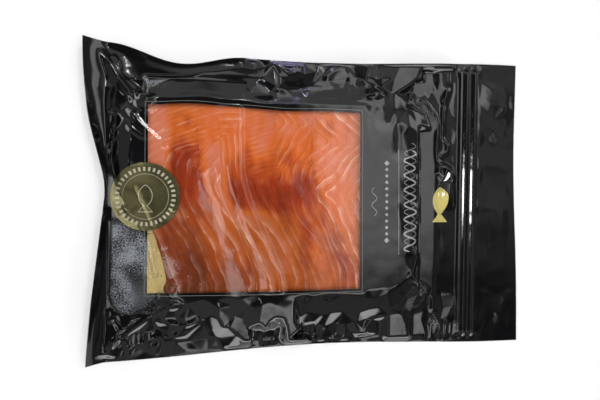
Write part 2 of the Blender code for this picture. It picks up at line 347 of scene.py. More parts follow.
def slice_thickness(edges, row, y):
    """Thickness of one slice, tapered towards its sides and its ends. The
    first slice keeps most of its thickness at its sides."""
    side = np.minimum(row - edges[0], edges[1] - row)
    low_end, high_end = fish_ends(row)
    end = np.minimum(y - low_end, high_end - y)
    if edges[0] == SLICE_EDGES[0][0]:
        side = np.maximum(side, 9.0)
    taper = 0.06 + 0.94 * smooth(0.0, SLICE_TAPER, side)
    return SLICE_THICK * taper * (0.4 + 0.6 * smooth(0.0, 8.0, end))


def slice_underside(index, row, y):
    """A slice lies on the card and drapes over the slices laid before it."""
    height = np.full(np.shape(row), CARD_TOP + SOLID_GAP)
    for edges in SLICE_EDGES[:index]:
        held = np.clip(row, edges[0], edges[1])
        over = smooth(edges[1] + SLICE_DRAPE, edges[1], row)
        height = height + (slice_thickness(edges, held, y) + SLICE_GAP) * over
    return height


def fish_top(row, y):
    """Height of the pile's upper surface."""
    top = np.full(np.shape(row), CARD_TOP)
    for index, edges in enumerate(SLICE_EDGES):
        inside = (row >= edges[0]) & (row <= edges[1])
        held = np.clip(row, edges[0], edges[1])
        surface = slice_underside(index, held, y) + slice_thickness(edges, held, y)
        top = np.where(inside, np.maximum(top, surface), top)
    return top


def fish_inside(x, y):
    """Distance inside the pile's outline, negative outside."""
    row = row_place(x, y)
    low_end, high_end = fish_ends(row)
    first, last = SLICE_EDGES[0][0], SLICE_EDGES[-1][1]
    return np.minimum(np.minimum(row - first, last - row), np.minimum(y - low_end, high_end - y))


def fish_share(x, y):
    """Share of the pile's height that the film keeps: 1 over the fish, then
    the fall of FALL_PROFILE. Distances outside the pile are stretched where
    the fall is steeper: 2.4 to 3.3 times at the left, 4 times at the right,
    and up to 1.5 times at the top left. Below the middle it starts later."""
    row = row_place(x, y)
    low_end, high_end = fish_ends(row)
    first, last = SLICE_EDGES[0][0], SLICE_EDGES[-1][1]
    left_pace = 2.4 + 0.9 * smooth(12.0, -14.0, y)
    top_pace = 1.0 + 0.5 * hump(x, -94.0, 46.0)
    first = first - 3.0 * smooth(-15.0, -42.0, y)
    side = np.maximum((first - row) * left_pace, (row - last) * 4.0)
    stretched = smooth(-28.0, -8.0, x) * smooth(58.0, 40.0, x)
    low = low_end + 3.0 * stretched - y
    end = np.maximum(low, (y - high_end + 2.0) * top_pace)
    out = np.hypot(np.maximum(side, 0.0), np.maximum(end, 0.0))
    return curve_through(FALL_PROFILE, out, 0.5)


# -------------------------------------------------------------- film surface

# Folds of the front film: path, height and width in millimetres.
FOLDS = (
    # the big fold from the upper left corner to the window
    (((-128, 86), (-121, 75), (-117, 69), (-110, 61), (-101, 56)), 2.6, 2.6),
    (((-119, 80), (-115, 70), (-107, 62), (-100, 59)), 1.6, 1.8),
    (((-118, 70), (-121, 50), (-122, 31)), 0.6, 1.1),
    (((-109, 57), (-111, 51), (-107, 45), (-101, 39), (-95, 33)), 1.1, 2.0),
    (((-118, 40), (-113, 44), (-109, 40), (-104, 36), (-97, 35)), 1.0, 1.7),
    (((-116, 38), (-119, 33), (-122, 30)), 0.6, 1.2),
    # crest where the film leaves the fish along the top
    (((-99, 61), (-88, 68), (-75, 70), (-70, 72), (-55, 72.5), (-38, 72), (-30, 66)), 0.8, 2.0),
    (((-30, 66), (-12, 67), (8, 69), (16, 70)), 0.6, 1.6),
    (((-48, 80), (-47, 74)), 0.5, 1.0),
    (((3, 75), (15, 82)), 0.6, 1.3),
    (((-23, 80), (-19, 77.5), (-14.5, 78.5), (-11.5, 73.5)), 0.45, 0.9),
    (((-19, 80.5), (-15, 80), (-12, 78), (-11.5, 74)), 0.3, 0.7),
    # right end of the fish and the card's corner
    (((67, 64), (72, 61), (76, 56), (78, 49), (77.5, 34), (78, 19)), 0.8, 1.0),
    (((85, 71), (82, 60), (81, 48), (82, 40), (86, 36), (85, 32), (81, 30)), 0.8, 1.0),
    (((47, -3), (49, -12), (49, -24), (53, -31)), 0.12, 1.8),
    (((57, -44), (70, -56)), 1.0, 0.9),
    (((74.5, -60), (74, -70), (78, -76), (80, -83)), 0.7, 1.0),
    # folds below the window
    (((-91, -60), (-101, -66), (-119, -80)), 1.2, 1.8),
    (((-122, -62), (-120, -67), (-117, -65), (-112, -72), (-108, -66), (-104, -66)), 0.5, 0.9),
    (((-100, -65), (-93, -69), (-84, -71), (-76, -70), (-69, -66)), 0.6, 1.2),
    (((-100, -79), (-94, -77), (-88, -78), (-79, -76), (-71, -70)), 0.6, 1.2),
    (((28, -81), (31, -75), (34, -72), (40, -70)), 0.6, 0.9),
    # small folds over the fish along the window's lower edge
    (((-88, -50), (-85, -45), (-79, -43), (-72, -48)), 0.3, 0.9),
    (((-76, -51), (-72, -46), (-66, -44)), 0.25, 0.8),
    (((-34, -52), (-31, -45), (-33, -37)), 0.3, 0.9),
    (((-24, -52), (-25, -42), (-29, -35)), 0.3, 0.9),
    (((-88, -7), (-82, -8), (-79, -9.5)), 0.25, 0.7),
)

# Smooth tongues between the card and the seals: centre, reach, turn, height.
TONGUES = (
    ((34.0, 66.0), (5.0, 3.4), math.radians(20), 1.2),
    ((-86.0, -59.0), (4.5, 3.0), 0.0, 1.3),
)

# Flat facets of the crumpled film: height above the smooth film at the first
# corner, slope along X and Y, and the corners, in millimetres.
FACETS = (
    # below the window
    (0.8, (-0.05, 0.09), ((-61, -61), (-56, -65), (-54.5, -69.5), (-58, -72), (-60.5, -67))),
    (0.5, (-0.04, 0.085), ((-51.5, -65.5), (-46.5, -67), (-43.5, -73), (-41.5, -81), (-46, -80.5),
                           (-50, -77), (-54.5, -72.5))),
    (0.7, (-0.03, 0.08), ((-36, -60), (-32.5, -58.5), (-30, -65), (-31, -69), (-34, -74), (-37.5, -70))),
    (0.8, (-0.01, 0.09), ((-27.5, -60.5), (-23, -63), (-17, -69.5), (-14, -75), (-9.5, -80.5),
                          (-20, -80.5), (-21, -73), (-23, -68), (-28.5, -67))),
    (1.2, (0.0, 0.10), ((1, -74), (3.5, -75), (4.5, -78), (1.5, -80))),
    (1.2, (0.0, 0.10), ((15.5, -74.5), (17.5, -75), (19.5, -79), (17, -80))),
    (1.3, (0.0, 0.10), ((21, -72.5), (24, -73), (27.5, -77), (28, -80), (25, -80))),
    (0.3, (0.0, 0.06), ((44, -69), (50, -68.3), (54, -70.5), (56.5, -76), (57.5, -83), (44.5, -83))),
    (0.3, (0.0, 0.06), ((60.5, -70), (64, -69.5), (67, -73), (69, -78), (71, -83), (60.5, -83))),
    (0.5, (-0.08, 0.07), ((-92, -66), (-84, -66.6), (-82, -69.5), (-88, -68.8))),
    (0.5, (-0.08, 0.07), ((-80, -67.2), (-72, -65.5), (-70.5, -68), (-78, -70))),
    (0.2, (-0.01, -0.035), ((-125.5, -60), (-122, -60), (-120.5, -85), (-126.5, -85))),
    (0.7, (-0.07, 0.05), ((-101, -63.5), (-97, -66), (-112, -76), (-118, -79), (-116, -75))),
    # above the window
    (0.0, (-0.10, -0.24), ((-43, 62), (-39, 70.5), (-36, 71.5), (-30, 66), (-33, 61.5))),
    (0.8, (-0.10, -0.15), ((-28, 67), (-25.5, 68), (-25.5, 73), (-29.5, 79))),
    (0.1, (0.0, 0.0), ((-28, 81), (-24, 79), (-20, 78.5), (-11.5, 77.5), (-10, 82), (-10, 84), (-28, 84))),
    (0.6, (0.0, -0.09), ((-6, 69), (3, 72), (16, 81), (8, 82.5), (2, 77))),
    (0.9, (-0.03, -0.08), ((18.5, 70.5), (21, 70), (22.5, 75), (19, 79), (17, 81), (17, 76))),
    (0.8, (-0.02, -0.08), ((27.5, 69.5), (30, 69), (30.3, 72), (28, 74))),
    (0.9, (0.0, -0.09), ((44, 66.5), (46.5, 66), (62, 76), (65, 83.5), (50, 83.5), (46, 76))),
    (0.6, (0.03, -0.08), ((73, 69.5), (75.5, 75), (75, 82), (69.5, 82), (69.5, 76), (70.5, 70.5))),
    (0.6, (0.02, -0.05), ((63, 67), (66.5, 66), (66.5, 71), (62, 75), (61, 69))),
    (0.5, (0.04, -0.06), ((79, 76.5), (81.3, 76.5), (81.3, 82.5), (79, 82.5))),
    (0.5, (0.05, -0.06), ((84.5, 77), (86.5, 77), (86.5, 82.5), (84.5, 82.5))),
    # panels at the upper left
    (0.3, (-0.02, -0.12), ((-116, 68.5), (-103, 69.5), (-101, 60), (-108, 61))),
    (0.2, (0.0, -0.10), ((-117.5, 64), (-112, 60), (-109, 50), (-112, 44), (-118, 45))),
    # beside the window
    (0.1, (0.0, -0.12), ((20, 60), (33, 59), (40, 63.5), (35, 66.5), (27, 64))),
    # at the gold mark, turned towards the lamp
    (0.1, (0.537, 0.012), ((80.6, 12.2), (84.5, 12.8), (86.8, 15.5), (86.8, 19), (84.6, 21.5), (83, 17))),
    (0.1, (0.53, 0.0), ((77, 6), (79, 3.6), (82, 3.2), (83.5, 5), (81.5, 7), (79, 7))),
    # beyond the strip
    (0.1, (0.02, 0.0), ((108, 66), (120, 72), (127, 68), (128, 62), (116, 63))),
)

# Grooves of the film beside the window: path, depth and width.
GROOVES = (
    (((43, 50.5), (47, 55), (53, 59.5)), 0.55, 3.6),
    (((48, 47), (48.5, 40), (48.5, 32)), 0.35, 2.6),
    (((47, 63), (54, 62)), 0.3, 2.4),
    (((57, 10), (58, 0), (58, -14)), 0.25, 2.6),
    (((57, 60), (63, 60), (70, 57), (74, 52)), 0.5, 3.0),
)

# Pleats gathered against the seals: first and last x, y of both ends, pitch
# and height, in millimetres.
PLEATS = (
    (-115.0, -98.0, -74.5, -81.5, 2.7, 0.9),
    (-95.0, -84.0, -76.0, -81.0, 2.9, 0.6),
    (-40.0, -23.0, -75.0, -80.5, 2.3, 0.8),
    (-12.0, -1.0, -73.0, -80.0, 2.5, 0.8),
    (9.0, 14.0, -73.5, -80.0, 2.3, 0.7),
    (72.0, 92.0, -77.0, -84.0, 3.4, 0.5),
    (88.0, 93.0, 77.0, 84.0, 2.4, 0.5),
    (31.0, 42.0, 84.0, 76.0, 3.6, 0.5),
)

# More places where the card's grain shows, as pressed bumps and painted glint specks: share and outline.
BARE_CORNERS = (
    (0.9, ((-103, 69), (-89, 68.5), (-97, 63), (-101, 61))),
    (0.35, ((56, 62), (66, 64), (74, 58), (76, 51), (69, 51), (60, 57))),
    (0.35, ((43, -66), (52, -58), (59, -51), (69, -58), (69, -62), (63, -67), (50, -67.5))),
)

# Where the film lies tight, as (x, y of the low corner, x, y of the high one).
TIGHT = (
    (-104.0, -54.0, 26.0, 58.5),        # over the window
    (-126.0, -60.0, -103.0, -12.0),     # on the bare card
    (-130.0, -2.0, -100.0, 48.0),       # left of the seal sticker
    (65.0, -55.0, 76.0, 44.0),          # on the card beyond the fish
    (-100.0, 61.0, -47.0, 90.0),        # along the upper left edge
    (76.0, -55.0, 140.0, -7.0),         # between the card and the right edge
    (92.0, -90.0, 106.0, 90.0),         # over the strip
)

# Where the loose film is calmer, as (low corner, high corner, share).
CALM = (
    ((24.0, -54.0, 64.0, 58.0), 0.10),
    ((-98.0, 54.0, 22.0, 69.0), 0.22),
    ((-18.0, -70.0, 42.0, -50.0), 0.18),
    ((-100.0, -63.0, -20.0, -50.0), 0.30),
    ((-126.0, -90.0, -84.0, -60.0), 0.40),
    ((-124.0, 36.0, -98.0, 70.0), 0.30),
    ((75.0, -6.0, 92.0, 47.0), 0.10),
    ((104.0, -90.0, 140.0, 90.0), 0.45),
)


def room_to_edge(column, row):
    """Distance from a place on the flat film to its nearest edge. The left
    edge doesn't count, because that seal is turned up."""
    return np.minimum(HALF_WIDTH - np.abs(row), HALF_LENGTH - column)


def turn_share(column):
    """Share of the left seal's turn: 0 where it starts, 1 at the edge."""
    return np.clip((TURN_UP_FROM - column) / (TURN_UP_FROM + HALF_LENGTH), 0.0, 1.0)


def seal_surface(column, row):
    """Where the sealed films lie: edges drawn in, left seal turned up with
    its height growing as the turn to the power 1.5."""
    turn = turn_share(column)
    x = column + left_draw(row) * turn
    x = x - right_draw(row) * smooth(108.0, HALF_LENGTH, column)
    lean_share = smooth(75.0, 92.0, column) * smooth(128.0, 107.0, column)
    x = x + STRIP_LEAN * row / HALF_WIDTH * lean_share
    up = np.clip((row - DRAW_FROM) / (HALF_WIDTH - DRAW_FROM), 0.0, 1.0)
    down = np.clip((-DRAW_FROM - row) / (HALF_WIDTH - DRAW_FROM), 0.0, 1.0)
    y = row - top_draw(column) * up + bottom_draw(column) * down
    return np.stack([x, y, TURN_UP * turn ** 1.5], axis=-1)


def soft_box(x, y, corners, soft):
    """Share 1 inside a rectangle, falling to 0 within soft outside it."""
    left, bottom, right, top = corners
    along = smooth(left - soft, left, x) * smooth(right + soft, right, x)
    return along * smooth(bottom - soft, bottom, y) * smooth(top + soft, top, y)


def outline_room(x, y, corners):
    """Distance inside an outline, negative outside it. A point is inside when
    a ray from it crosses the outline an odd number of times."""
    inside = np.zeros(np.shape(x), bool)
    for (x0, y0), (x1, y1) in zip(corners, corners[1:] + corners[:1]):
        spans = (y0 > y) != (y1 > y)
        inside = inside ^ (spans & (x < x0 + (y - y0) * (x1 - x0) / ((y1 - y0) or 1.0)))
    nearest = distance_to(x, y, corners + corners[:1])
    return np.where(inside, nearest, -nearest)


def film_net():
    """Net of triangles that the crumpled film is stretched over: the facets,
    the pleats, and between them scattered corners, each raised or lowered by
    a random share of the crumple height. All are joined by a Delaunay
    triangulation that keeps the facets' and pleats' own edges."""
    corners, edges = [], []

    def chain(points, closed=False):
        first = len(corners)
        corners.extend(points)
        edges.extend((first + step, first + step + 1) for step in range(len(points) - 1))
        if closed:
            edges.append((len(corners) - 1, first))

    for lift, (slope_x, slope_y), outline in FACETS:
        x0, y0 = outline[0]
        start = float(smooth_film(np.array(1.0 * x0), np.array(1.0 * y0))) + lift
        chain([(x, y, start + slope_x * (x - x0) + slope_y * (y - y0)) for x, y in outline], True)
    draw = np.random.default_rng(33)
    for first, last, near, far, pitch, height in PLEATS:
        for step in range(round(2 * (last - first) / pitch)):
            x = first + pitch * (step + draw.uniform(-0.3, 0.3)) / 2
            ends = np.array([near, far]) + draw.uniform(-1.0, 1.0, 2)
            rise = smooth_film(np.array([x, x]), ends) + height * (step % 2) * draw.uniform(0.6, 1.3)
            chain([(x, ends[0], rise[0]), (x + draw.uniform(-0.5, 0.5), ends[1], rise[1])])
    x, y = np.meshgrid(np.arange(-131.0, 135.0, NET_PITCH), np.arange(-88.0, 90.0, NET_PITCH))
    x[1::2] += NET_PITCH / 2
    x = x + draw.uniform(-0.35, 0.35, x.shape) * NET_PITCH
    y = y + draw.uniform(-0.35, 0.35, x.shape) * NET_PITCH
    free = np.ones(x.shape, bool)
    for _, _, outline in FACETS:
        free &= outline_room(x, y, outline) < -3.0
    for first, last, near, far, *_ in PLEATS:
        free &= ~((x > first - 2) & (x < last + 2) & (y > min(near, far) - 2) & (y < max(near, far) + 2))
    most = bpy.context.scene.pack_film.crumple / MM
    swing = most * draw.uniform(-1.0, 1.0, x.shape) * looseness(x, y)
    for calm_box, share in CALM:
        swing = swing * (1.0 - (1.0 - share) * soft_box(x, y, calm_box, 3.0))
    rise = smooth_film(x, y) + swing
    corners.extend(zip(x[free], y[free], rise[free]))
    beyond_x, beyond_y = HALF_LENGTH + 15.0, HALF_WIDTH + 10.0
    for side_x, side_y in ((-1, -1), (1, -1), (1, 1), (-1, 1)):
        corners.append((side_x * beyond_x, side_y * beyond_y, BACK_THICK))
    places, _, triangles, origins, _, _ = geometry.delaunay_2d_cdt(
        [Vector(corner[:2]) for corner in corners], edges, [], 0, 1e-4)
    heights = [corners[origin[0]][2] if origin else 1.5 for origin in origins]
    points = np.array([(place[0], place[1], height) for place, height in zip(places, heights)])
    return points[np.array(triangles)]


def over_net(net, x, y):
    """Height of the net at each point: the plane through the corners of the
    triangle that the point lies in."""
    points = np.stack([np.ravel(x), np.ravel(y)])
    order = np.argsort(points[0])
    in_order = points[0][order]
    height = np.zeros(len(order))
    for (ax, ay, az), (bx, by, bz), (cx, cy, cz) in net:
        whole = (bx - ax) * (cy - ay) - (cx - ax) * (by - ay)
        if abs(whole) < 1e-6:
            continue
        start, stop = np.searchsorted(in_order, (min(ax, bx, cx), max(ax, bx, cx)))
        near = order[start:stop]
        dx, dy = points[0][near] - ax, points[1][near] - ay
        second = (dx * (cy - ay) - (cx - ax) * dy) / whole
        third = ((bx - ax) * dy - dx * (by - ay)) / whole
        hit = (second >= -1e-9) & (third >= -1e-9) & (second + third <= 1.0 + 1e-9)
        height[near[hit]] = (az + second * (bz - az) + third * (cz - az))[hit]
    return height.reshape(np.shape(x))


def looseness(x, y):
    """Share of crumpling, 0 where the film lies tight."""
    tight = np.zeros(np.shape(x))
    for corners in TIGHT:
        tight = np.maximum(tight, soft_box(x, y, corners, 4.0))
    return 1.0 - tight


def strip_rise(column, room):
    """Two blunt ridges of the press-to-close strip under the film."""
    rise = STRIP_FLAT * smooth(88.0, 94.0, column) * smooth(121.0, 106.0, column)
    for middle in STRIP_RIDGES:
        rise = np.maximum(rise, STRIP_CREST - RIDGE_SLOPE * np.hypot(column - middle, 0.25))
    return rise * smooth(2.0, 7.0, room)


def fish_below(x, y):
    """Highest point of the pile within about 1.5 mm."""
    place = row_place(x, y)
    first, last = SLICE_EDGES[0][0], SLICE_EDGES[-1][1]
    highest = np.full(np.shape(x), CARD_TOP)
    for along in (-1.5, 0.0, 1.5):
        for across in (-1.5, 0.0, 1.5):
            highest = np.maximum(highest, fish_top(np.clip(place + along, first, last), y + across))
    return highest


def smooth_film(x, y, column=None, room=None):
    """Height of the front film's underside before it crumples: the highest of
    the back film, the card and the strip, and over the fish its own level, of
    which it keeps the share outside. The strip follows the film's own column,
    and the seals its room to the edge, both taken as flat by default."""
    column = x if column is None else column
    room = room_to_edge(x, y) if room is None else room
    rest = BACK_THICK + SKIM + 0.4 * smooth(3.0, SEAL_WIDTH + 3.0, room)
    slant = np.clip((92.0 - column) / 15.0, 0.0, 1.0) * smooth(70.0, 76.0, column)
    rest = rest + 0.5 * slant * smooth(2.0, 12.0, room)
    card = (CARD_TOP + 0.15) * smooth(-3.4, 0.2, card_inside(np.maximum(x, -115.0), y))
    flat = np.maximum(np.maximum(rest, card), strip_rise(column, room))
    place = row_place(x, y)
    level = curve_through(FILM_LEVEL, place, 9.0)
    level = level - 1.5 * smooth(-5.0, -35.0, y) * smooth(-76.0, -110.0, place)
    level = level - 2.3 * smooth(22.0, 6.0, y) * smooth(-28.0, -10.0, y) * smooth(-86.0, -108.0, place)
    share = fish_share(x + 1.2 * noise(x, y, 17.0, 5), y + 1.2 * noise(x, y, 17.0, 6))
    return flat + np.maximum(level - flat, 0.0) * share


def film_height(x, y, column, room):
    """Height of the front film's underside: the smooth film, crumpled over
    the net, with its folds, tongues, grooves and small waves, and never below
    the fish or the card."""
    height = smooth_film(x, y, column, room)
    loose = looseness(x, y) * smooth(0.3, 3.5, room)
    net = film_net()
    round_off = sum(over_net(net, x + dx, y + dy) for dx, dy in ROUNDING) / len(ROUNDING)
    height = height + (round_off - height) * loose

    inside = fish_inside(x, y)
    bend_x = x + 0.8 * noise(x, y, 9.0, 7)
    bend_y = y + 0.8 * noise(x, y, 9.0, 8)
    folds = np.zeros(np.shape(x))
    for path, rise, width in FOLDS:
        folds = np.maximum(folds, crease(bend_x, bend_y, path, rise, width))
    for centre, reach, turn, rise in TONGUES:
        folds = np.maximum(folds, blister(bend_x, bend_y, centre, reach, turn, rise))
    sunk = np.zeros(np.shape(x))
    for path, depth, width in GROOVES:
        sunk = np.maximum(sunk, crease(bend_x, bend_y, path, depth, width))
    waves = (0.14 + 0.1 * loose + 0.12 * smooth(104.0, 112.0, x)) * noise(x, y, 24.0, 9)
    waves = waves + 0.05 * noise(x, y, 8.0, 10)
    height = height + (folds + waves) * smooth(1.0, SEAL_WIDTH + 1.0, room) - sunk
    on_card = np.where(card_inside(x, y) > 0.0, CARD_TOP + 0.1, BACK_THICK + SKIM)
    floor = np.where(inside > 0.0, fish_below(x, y) + 0.12, on_card)
    return np.clip(height, floor, FILM_TOP)


def kept_in(points):
    """Points held within the pouch's outline box."""
    points[..., 0] = np.clip(points[..., 0], -HALF_LENGTH, HALF_LENGTH)
    points[..., 1] = np.clip(points[..., 1], -HALF_WIDTH, HALF_WIDTH)
    return points


def upward(grid):
    """Unit normals of a grid of points, pointing up."""
    normal = np.cross(np.gradient(grid, axis=0), np.gradient(grid, axis=1))
    return normal / np.linalg.norm(normal, axis=-1, keepdims=True)


def window_warp(column, row):
    """Sideways slip of the film in Y, which makes the window's edge wavy."""
    wave = 1.3 * hump(column, -76.0, 26.0) - 0.9 * hump(column, -22.0, 26.0)
    return wave * smooth(20.0, 50.0, row) * smooth(84.0, 60.0, row)


def front_points(column, row):
    """Underside of the front film as a grid of points."""
    base = seal_surface(column, row)
    rise = film_height(base[..., 0], base[..., 1], column, room_to_edge(column, row)) - BACK_THICK
    points = base + upward(base) * BACK_THICK
    points[..., 2] += rise * (1.0 - turn_share(column)) ** 1.5 + SKIM
    points[..., 1] += window_warp(column, row)
    return points


def spaced(stops):
    """Grid lines between stops, each given as (place, step to the next)."""
    lines = []
    for (start, step), (end, _) in zip(stops, stops[1:]):
        lines.append(np.linspace(start, end, max(1, round((end - start) / step)), endpoint=False))
    return np.append(np.concatenate(lines), stops[-1][0])


def film_lines(step):
    """Columns and rows of the front film's grid, closer in the folds and on
    the strip, with lines on the window's edges."""
    left, bottom, right, top = WINDOW
    columns = spaced(((-HALF_LENGTH, 1.3 * step), (TURN_UP_FROM, 1.1 * step), (left, 1.25 * step),
                      (right, 1.5 * step), (60.0, step), (92.0, 0.6 * step), (108.0, 2.2 * step),
                      (HALF_LENGTH, 1.0)))
    rows = spaced(((-HALF_WIDTH, 1.2 * step), (-82.0, step), (bottom, 1.25 * step), (top, step),
                   (82.0, 1.2 * step), (HALF_WIDTH, 1.0)))
    return columns, rows


# -------------------------------------------------------------------- meshes

def slab(name, top, bottom, keep=None, fields=None, sheet=None):
    """Closed sheet between two equal grids of points in millimetres: the top
    grid, the bottom grid turned over, and a wall along every open edge. keep
    marks the cells that stay. fields are numbers per grid point, and sheet is
    the place of each grid point on the flat material, from 0 to 1."""
    count = top.shape[0] * top.shape[1]
    number = np.arange(count).reshape(top.shape[:2])
    cells = np.ones((top.shape[0] - 1, top.shape[1] - 1), bool) if keep is None else keep
    up = np.stack([number[:-1, :-1][cells], number[1:, :-1][cells],
                   number[1:, 1:][cells], number[:-1, 1:][cells]], axis=1)
    start, end = up.reshape(-1), np.roll(up, -1, axis=1).reshape(-1)
    rim = ~np.isin(start * count + end, end * count + start)
    start, end = start[rim], end[rim]
    wall = np.stack([end, start, start + count, end + count], axis=1)
    faces = np.concatenate([up, up[:, ::-1] + count, wall])
    used, renumbered = np.unique(faces, return_inverse=True)
    faces = renumbered.reshape(faces.shape)
    corners = np.concatenate([top.reshape(-1, 3), bottom.reshape(-1, 3)])[used] * MM
    mesh = bpy.data.meshes.new(name)
    mesh.vertices.add(len(corners))
    mesh.vertices.foreach_set("co", corners.reshape(-1).astype(np.float32))
    mesh.loops.add(faces.size)
    mesh.loops.foreach_set("vertex_index", faces.reshape(-1).astype(np.int32))
    mesh.polygons.add(len(faces))
    mesh.polygons.foreach_set("loop_start", np.arange(0, faces.size, 4, dtype=np.int32))
    mesh.update(calc_edges=True)
    mesh.shade_smooth()
    mesh.set_sharp_from_angle(angle=math.radians(65.0))
    for field, values in (fields or {}).items():
        layer = mesh.attributes.new(field, "FLOAT", "POINT")
        both = np.concatenate([values.reshape(-1), values.reshape(-1)])[used]
        layer.data.foreach_set("value", both.astype(np.float32))
    if sheet is not None:
        both = np.concatenate([sheet.reshape(-1, 2), sheet.reshape(-1, 2)])[used]
        layer = mesh.uv_layers.new(name="sheet")
        layer.uv.foreach_set("vector", both[faces.reshape(-1)].reshape(-1).astype(np.float32))
    made = bpy.data.objects.new(name, mesh)
    bpy.context.scene.collection.objects.link(made)
    return made


def finish_piece(piece, material, slot, *nodes):
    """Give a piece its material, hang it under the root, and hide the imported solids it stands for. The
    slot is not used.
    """
    piece.data.materials.append(material)
    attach(piece, "root")
    if nodes:
        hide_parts(*nodes)


def sheet_place(column, row):
    """Place on the flat film, from 0 to 1 along each side."""
    return np.stack([(column + HALF_LENGTH) / (2 * HALF_LENGTH),
                     (row + HALF_WIDTH) / (2 * HALF_WIDTH)], axis=-1)


# ----------------------------------------------------------------- materials

def rgba(colour):
    """Opaque colour."""
    return (*colour, 1.0)


def node(tree, kind, *values, give="", stops=(), **named):
    """Add a node and give back its first open output, the output that give
    names, or the whole node if give is None. kind is the end of a shader
    node's type, or in capitals the operation of a Math node. The values go to
    the open inputs in order. Of the named ones, a capital letter marks an
    input, and the others are settings. A value that is a socket is linked.
    The stops are the places and colours of a colour ramp."""
    made = tree.nodes.new("ShaderNodeMath" if kind.isupper() else "ShaderNode" + kind)
    if kind.isupper():
        made.operation = kind
    for name, value in named.items():
        if name[0].islower():
            setattr(made, name, value)
    inputs = list(zip([socket for socket in made.inputs if socket.enabled], values))
    inputs += [(made.inputs[name.replace("_", " ")], value)
               for name, value in named.items() if name[0].isupper()]
    for socket, value in inputs:
        if isinstance(value, bpy.types.NodeSocket):
            tree.links.new(value, socket)
        else:
            socket.default_value = value
    for index, (place, colour) in enumerate(stops):
        ramp = made.color_ramp.elements
        stop = ramp[index] if index < 2 else ramp.new(place)
        stop.position = place
        stop.color = rgba(colour)
    if give is None:
        return made
    return made.outputs[give] if give else next(socket for socket in made.outputs if socket.enabled)


def new_material(name):
    """A node material with no nodes yet, and its tree."""
    made = bpy.data.materials.new(name)
    made.use_nodes = True
    made.node_tree.nodes.clear()
    return made, made.node_tree


def apart(tree, value, middle):
    """Distance of a value from a middle."""
    return node(tree, "ABSOLUTE", node(tree, "SUBTRACT", value, middle))


def sheet_millimetres(tree, *spans):
    """Millimetres from a sheet's middle along its sides, by its UV map."""
    sides = node(tree, "SeparateXYZ", node(tree, "UVMap", uv_map="sheet"), give=None).outputs
    return [node(tree, "MULTIPLY_ADD", side, span, -span / 2) for side, span in zip(sides, spans)]


# Width of the soft edge to each side of a print's outline, in millimetres.
INK_EDGE = 0.08


def ink_share(tree, distance, amount=1.0):
    """Share of ink at a distance from an outline."""
    return node(tree, "MapRange", distance, INK_EDGE, -INK_EDGE, 0.0, amount)


def print_mask(tree, x, y, shapes):
    """Share of ink of several shapes together, at a place in millimetres."""
    total = None
    for shape in shapes:
        share = ink_share(tree, shape(tree, x, y))
        total = share if total is None else node(tree, "MAXIMUM", total, share)
    return total


# Each shape below is a function that gives another one, which takes a place in
# millimetres and gives the distance from the shape's outline, negative inside.

def box_shape(centre, half):
    """Upright rectangle."""
    def distance(tree, x, y):
        across = node(tree, "SUBTRACT", apart(tree, x, centre[0]), half[0])
        along = node(tree, "SUBTRACT", apart(tree, y, centre[1]), half[1])
        return node(tree, "MAXIMUM", across, along)
    return distance


def outline_shape(shape, width):
    """Line of a width along another shape's outline."""
    def distance(tree, x, y):
        return node(tree, "SUBTRACT", node(tree, "ABSOLUTE", shape(tree, x, y)), width / 2)
    return distance


def lozenge_shape(centre, half):
    """Square stood on its corner."""
    def distance(tree, x, y):
        both = node(tree, "ADD", apart(tree, x, centre[0]), apart(tree, y, centre[1]))
        return node(tree, "SUBTRACT", both, half)
    return distance


def wave_shape(centre, half, length, swing, width):
    """Wavy line along Y: a sine of the place, swing to each side. Its distance
    along X is divided by the sine's steepness, for an even width."""
    def distance(tree, x, y):
        pace = 2 * math.pi / length
        phase = node(tree, "MULTIPLY", node(tree, "SUBTRACT", y, centre[1]), pace)
        offset = node(tree, "MULTIPLY", node(tree, "SINE", phase), swing)
        away = apart(tree, node(tree, "SUBTRACT", x, centre[0]), offset)
        slope = node(tree, "MULTIPLY", node(tree, "COSINE", phase), pace * swing)
        steep = node(tree, "SQRT", node(tree, "MULTIPLY_ADD", slope, slope, 1.0))
        line = node(tree, "SUBTRACT", node(tree, "DIVIDE", away, steep), width / 2)
        ends = node(tree, "SUBTRACT", apart(tree, y, centre[1]), half)
        return node(tree, "MAXIMUM", line, ends)
    return distance


def fish_shape(centre, length, height):
    """Plain fish along Y: a body where two circles overlap, and a tail."""
    body_half, thick = 0.4 * length, height / 2
    radius = (body_half ** 2 + thick ** 2) / (2 * thick)
    tail_length, tail_spread = 0.3 * length, 0.85

    def distance(tree, x, y):
        across = apart(tree, x, centre[0])
        along = node(tree, "SUBTRACT", y, centre[1])
        reach = node(tree, "ADD", across, radius - thick)
        square = node(tree, "MULTIPLY_ADD", reach, reach, node(tree, "MULTIPLY", along, along))
        body = node(tree, "SUBTRACT", node(tree, "SQRT", square), radius)
        back = node(tree, "SUBTRACT", node(tree, "MULTIPLY", along, -1.0), tail_length)
        wedge = node(tree, "SUBTRACT", across, node(tree, "MULTIPLY", back, tail_spread))
        tail = node(tree, "MAXIMUM", wedge, node(tree, "SUBTRACT", back, tail_length))
        tail = node(tree, "MAXIMUM", tail, node(tree, "MULTIPLY", back, -1.0))
        return node(tree, "MINIMUM", body, tail)
    return distance


# Print on the film, where a pack has its lettering: two rules with a twisted
# line between them, a row of lozenges, a short wave, and a gold fish.
RULES = (48.4, 65.2)
RULE_HALF = (0.14, 32.0)
TWIST_PLACE = (56.2, 0.5)
TWIST = {"half": 31.0, "length": 9.0, "swing": 4.1}
LOZENGE_X = 40.5
LOZENGE_PITCH = 3.9
LOZENGES_EACH_SIDE = 6
SHORT_WAVE_PLACE = (32.5, 0.0)
GOLD_FISH_PLACE = (79.5, 0.5)
WINDOW_LINE_GAP = 1.5
WINDOW_LINE_WIDTH = 0.34


